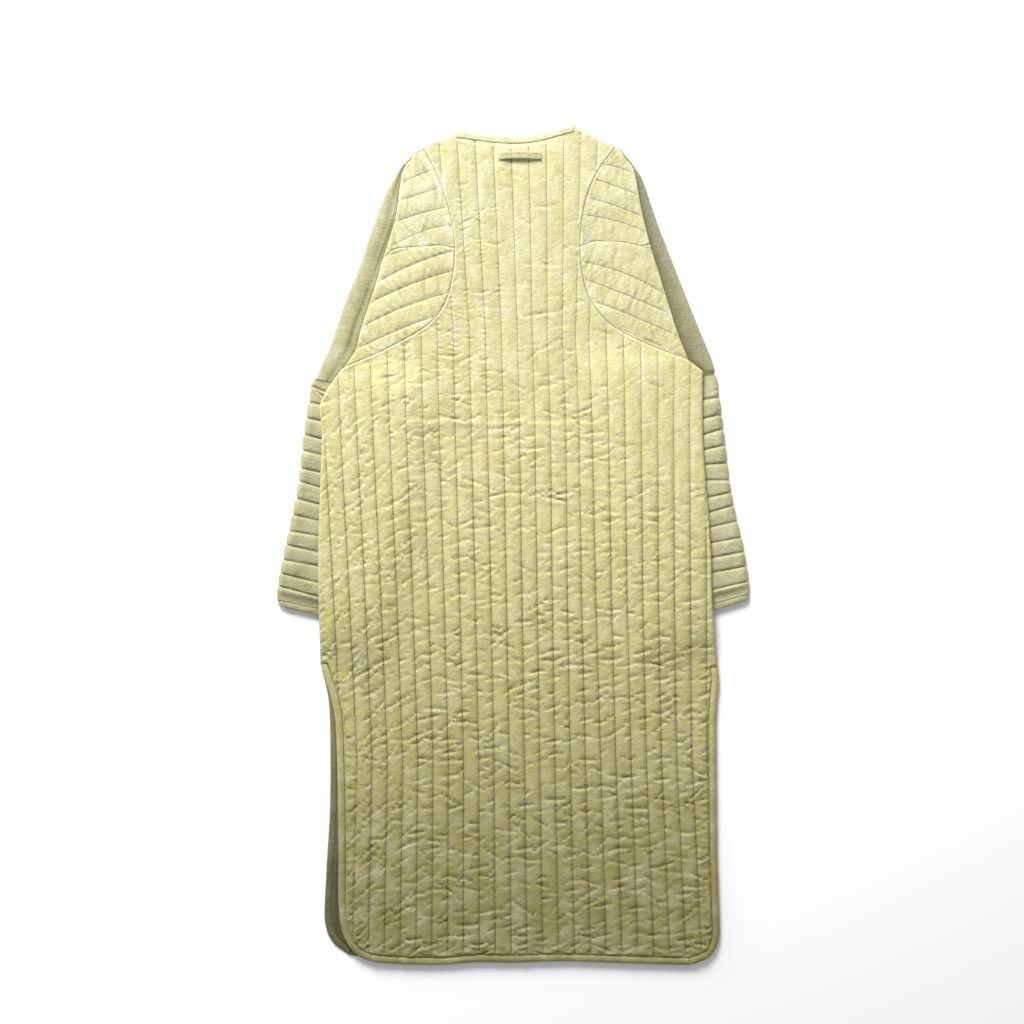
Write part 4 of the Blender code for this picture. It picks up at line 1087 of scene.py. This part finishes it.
def make_stitches(name, lines, pieces, finish):
    """Rows of stitches that lie on the pieces below them, each a small closed grain of thread."""
    corners, faces = [], []
    for form in pieces:
        first = len(corners)
        corners += [v.co.copy() for v in form.data.vertices]
        faces += [[first + i for i in f.vertices] for f in form.data.polygons]
    tree = BVHTree.FromPolygons(corners, faces)
    points, made_faces = [], []
    for line in lines:
        along = np.concatenate([[0], np.cumsum(np.linalg.norm(np.diff(line, axis=0), axis=1))])
        starts = np.arange(1, along[-1] - STITCH_LONG, STITCH_PITCH)
        ends = [np.column_stack([np.interp(starts + more, along, line[:, k]) for k in (0, 1)])
                for more in (0, STITCH_LONG)]
        for a, b in zip(*ends):
            middle = (a + b) / 2
            hits = [tree.ray_cast(Vector((*(p * MM), 0.1)), Vector((0, 0, -1)))[0] for p in (a, middle, b)]
            if None in hits or hits[1].z < 0.002:
                continue
            z = [hit.z / MM for hit in hits]
            side = np.array([a[1] - b[1], b[0] - a[0]]) / STITCH_LONG * STITCH_WIDE / 2
            first = len(points)
            lift = max(z[1], (z[0] + z[2]) / 2)
            points += [(*a, z[0] + 0.02), (*b, z[2] + 0.02), (*(middle + side), lift + 0.05),
                       (*(middle - side), lift + 0.05), (*middle, lift + STITCH_HIGH)]
            for face in ((0, 3, 4), (3, 1, 4), (1, 2, 4), (2, 0, 4), (0, 2, 1, 3)):
                made_faces.append([first + i for i in face])
    return piece(name, points, made_faces, finish)


SLEEVE_PANELS = [f"sleeve_back_{part}_{side}" for part in ("upper", "lower") for side in ("left", "right")]
SEAM_OUTLINES = [outline_of(node) for node in SLEEVE_PANELS]
NECK_OUTLINE = outline_of("neck_band")
BINDING_OUTLINES = [outline_of(node) for node in ("slit_binding_left", "hem_binding", "slit_binding_right")]
back = make_back()
parts = {"back": back}
for side in ("left", "right"):
    for part in ("upper", "lower"):
        node = f"sleeve_back_{part}_{side}"
        parts[node] = make_sleeve_back(part, side)

for side in ("left", "right"):
    parts[f"sleeve_top_{side}"] = make_strip(side)
    parts[f"sleeve_lower_{side}"] = make_lower_sleeve(side)

parts["neck_band"] = make_neck_band()
for node in ("front_left", "front_right", "sleeve_front_left", "sleeve_front_right"):
    parts[node] = make_under(node)

LOFTS = [
    ("hanger_loop", PLAIN, "velvet", 2, 0.15, 5),
    ("cuff_left", CUFF["left"], "binding", 2, 0.3, 6),
    ("cuff_right", CUFF["right"], "binding", 2, 0.3, 6),
    ("slit_binding_left", BINDING, "binding", 2, 0.4, 8),
    ("slit_binding_right", BINDING, "binding", 2, 0.4, 8),
    ("hem_binding", BINDING, "binding", 2, 0.4, 8),
    ("front_slit_binding_left", BINDING_SHADED_BELOW, "binding", 2, 0.4, 8),
    ("front_slit_binding_right", BINDING_SHADED_BELOW, "binding", 2, 0.4, 8),
    ("front_hem_binding_left", BINDING_SHADED_BELOW, "binding", 1, 0.3, 8),
    ("front_hem_binding_right", BINDING_SHADED_BELOW, "binding", 1, 0.3, 8),
    ("front_edge_binding_left", BINDING_SHADED_BELOW, "binding", 1, 0.3, 8),
    ("front_edge_binding_right", BINDING_SHADED_BELOW, "binding", 1, 0.3, 8),
    ("front_neck_binding_left", BINDING_SHADED_BELOW, "binding", 1, 0.3, 8),
    ("front_neck_binding_right", BINDING_SHADED_BELOW, "binding", 1, 0.3, 8),
]
for seed, (node, finish, slot_name, levels, ripple, size) in enumerate(LOFTS):
    parts[node] = make_loft(node, finish, levels, ripple, size, 60 + 3 * seed)


def kept_inside(line, outlines, gap):
    """The longest run of a line's points that lies inside one of the outlines."""
    inside = np.max([edge_distance(outline, line) for outline in outlines], axis=0) > gap
    changes = np.flatnonzero(np.diff(np.concatenate([[0], inside.astype(int), [0]])))
    runs = sorted(zip(changes[0::2], changes[1::2]), key=lambda run: run[0] - run[1])
    return line[runs[0][0]:runs[0][1]] if runs else line[:0]


def stitch_lines():
    """The rows of stitches: lengthwise on the back, crosswise on the sleeve tops, and along the bindings."""
    lines = []
    back_outline = outline_of("back")
    heights = np.arange(-584.0, 586.0, 3.0)
    for number in range(-LINES_EACH_SIDE, LINES_EACH_SIDE):
        line = np.column_stack([line_x(number, heights), heights])
        lines.append(kept_inside(line, [back_outline], 3.0))
    for side in ("left", "right"):
        panels = [outline_of(f"sleeve_back_{part}_{side}") for part in ("upper", "lower")]
        for row in SLEEVE_STITCHES[side]:
            xs = np.linspace(min(row[0::2]) - 8, max(row[0::2]) + 8, 50)
            lines.append(kept_inside(np.column_stack([xs, line_heights([row], xs)[0]]), panels, 2.0))
    edge = inset_rings(rounded(back_outline, OUTLINE_STEP), [2.4])
    low = edge[edge[:, 1] < BINDING_TOP + 4]
    start = int(np.argmax(np.linalg.norm(low - np.roll(low, 1, 0), axis=1)))
    lines.append(np.roll(low, -start, 0))
    left, right, low, high = LOOP_STITCHES
    box = [(left + 5, low), (left + 5, high), (left, high), (right, high), (right - 5, high), (right - 5, low)]
    lines.append(np.vstack([np.linspace(a, b, 12)[:-1] for a, b in zip(box, box[1:])]))
    return [line for line in lines if len(line) > 4]


thread = bpy.data.materials.new("thread")
thread.use_nodes = True
twist = thread.node_tree.nodes.new("ShaderNodeTexNoise")
twist.inputs["Scale"].default_value = 400
shades = colour_node(thread.node_tree.nodes, thread.node_tree.links,
                     thread.node_tree.nodes["Principled BSDF"].inputs["Base Color"],
                     ((0.05, 0.045, 0.017), (0.13, 0.12, 0.05)), twist.outputs[0])
thread.node_tree.nodes["Principled BSDF"].inputs["Roughness"].default_value = 0.6
stitches = make_stitches("stitches", stitch_lines(), [parts[n] for n in ["back", "hanger_loop"] + SLEEVE_PANELS],
                         thread)

# Floor, lights, camera
floor_mesh = bpy.data.meshes.new("floor")
floor_mesh.from_pydata([(-4, -4, -0.0004), (4, -4, -0.0004), (4, 4, -0.0004), (-4, 4, -0.0004)], [], [(0, 1, 2, 3)])
floor = bpy.data.objects.new("floor", floor_mesh)
bpy.context.scene.collection.objects.link(floor)
floor_finish = bpy.data.materials.new("floor")
floor_finish.use_nodes = True
floor_finish.node_tree.nodes["Principled BSDF"].inputs["Base Color"].default_value = (0.86, 0.855, 0.87, 1)
floor_finish.node_tree.nodes["Principled BSDF"].inputs["Roughness"].default_value = 0.9
floor_mesh.materials.append(floor_finish)

world = bpy.data.worlds.new("studio")
bpy.context.scene.world = world
world.use_nodes = True
world.node_tree.nodes["Background"].inputs[0].default_value = (0.97, 0.98, 1.0, 1)
world.node_tree.nodes["Background"].inputs[1].default_value = 0.5


def add_light(name, place, target, size, power):
    light = bpy.data.lights.new(name, "AREA")
    light.shape = "DISK"
    light.size = size
    light.energy = power
    made = bpy.data.objects.new(name, light)
    made.location = place
    made.rotation_euler = (Vector(target) - Vector(place)).to_track_quat("-Z", "Y").to_euler()
    bpy.context.scene.collection.objects.link(made)


add_light("key", (-0.7, 2.6, 1.7), (0.0, -0.05, 0), 1.5, 186)
add_light("low", (-2.3, 2.3, 0.6), (0.0, 0.0, 0), 1.0, 48)

camera_data = bpy.data.cameras.new("camera")
camera_data.lens = 100
camera_data.sensor_width = 36
camera = bpy.data.objects.new("camera", camera_data)
camera.location = (-0.0014, 0.0462, 1.4336 * 100 / 36)
bpy.context.scene.collection.objects.link(camera)
bpy.context.scene.camera = camera
bpy.context.scene.view_settings.view_transform = "Standard"
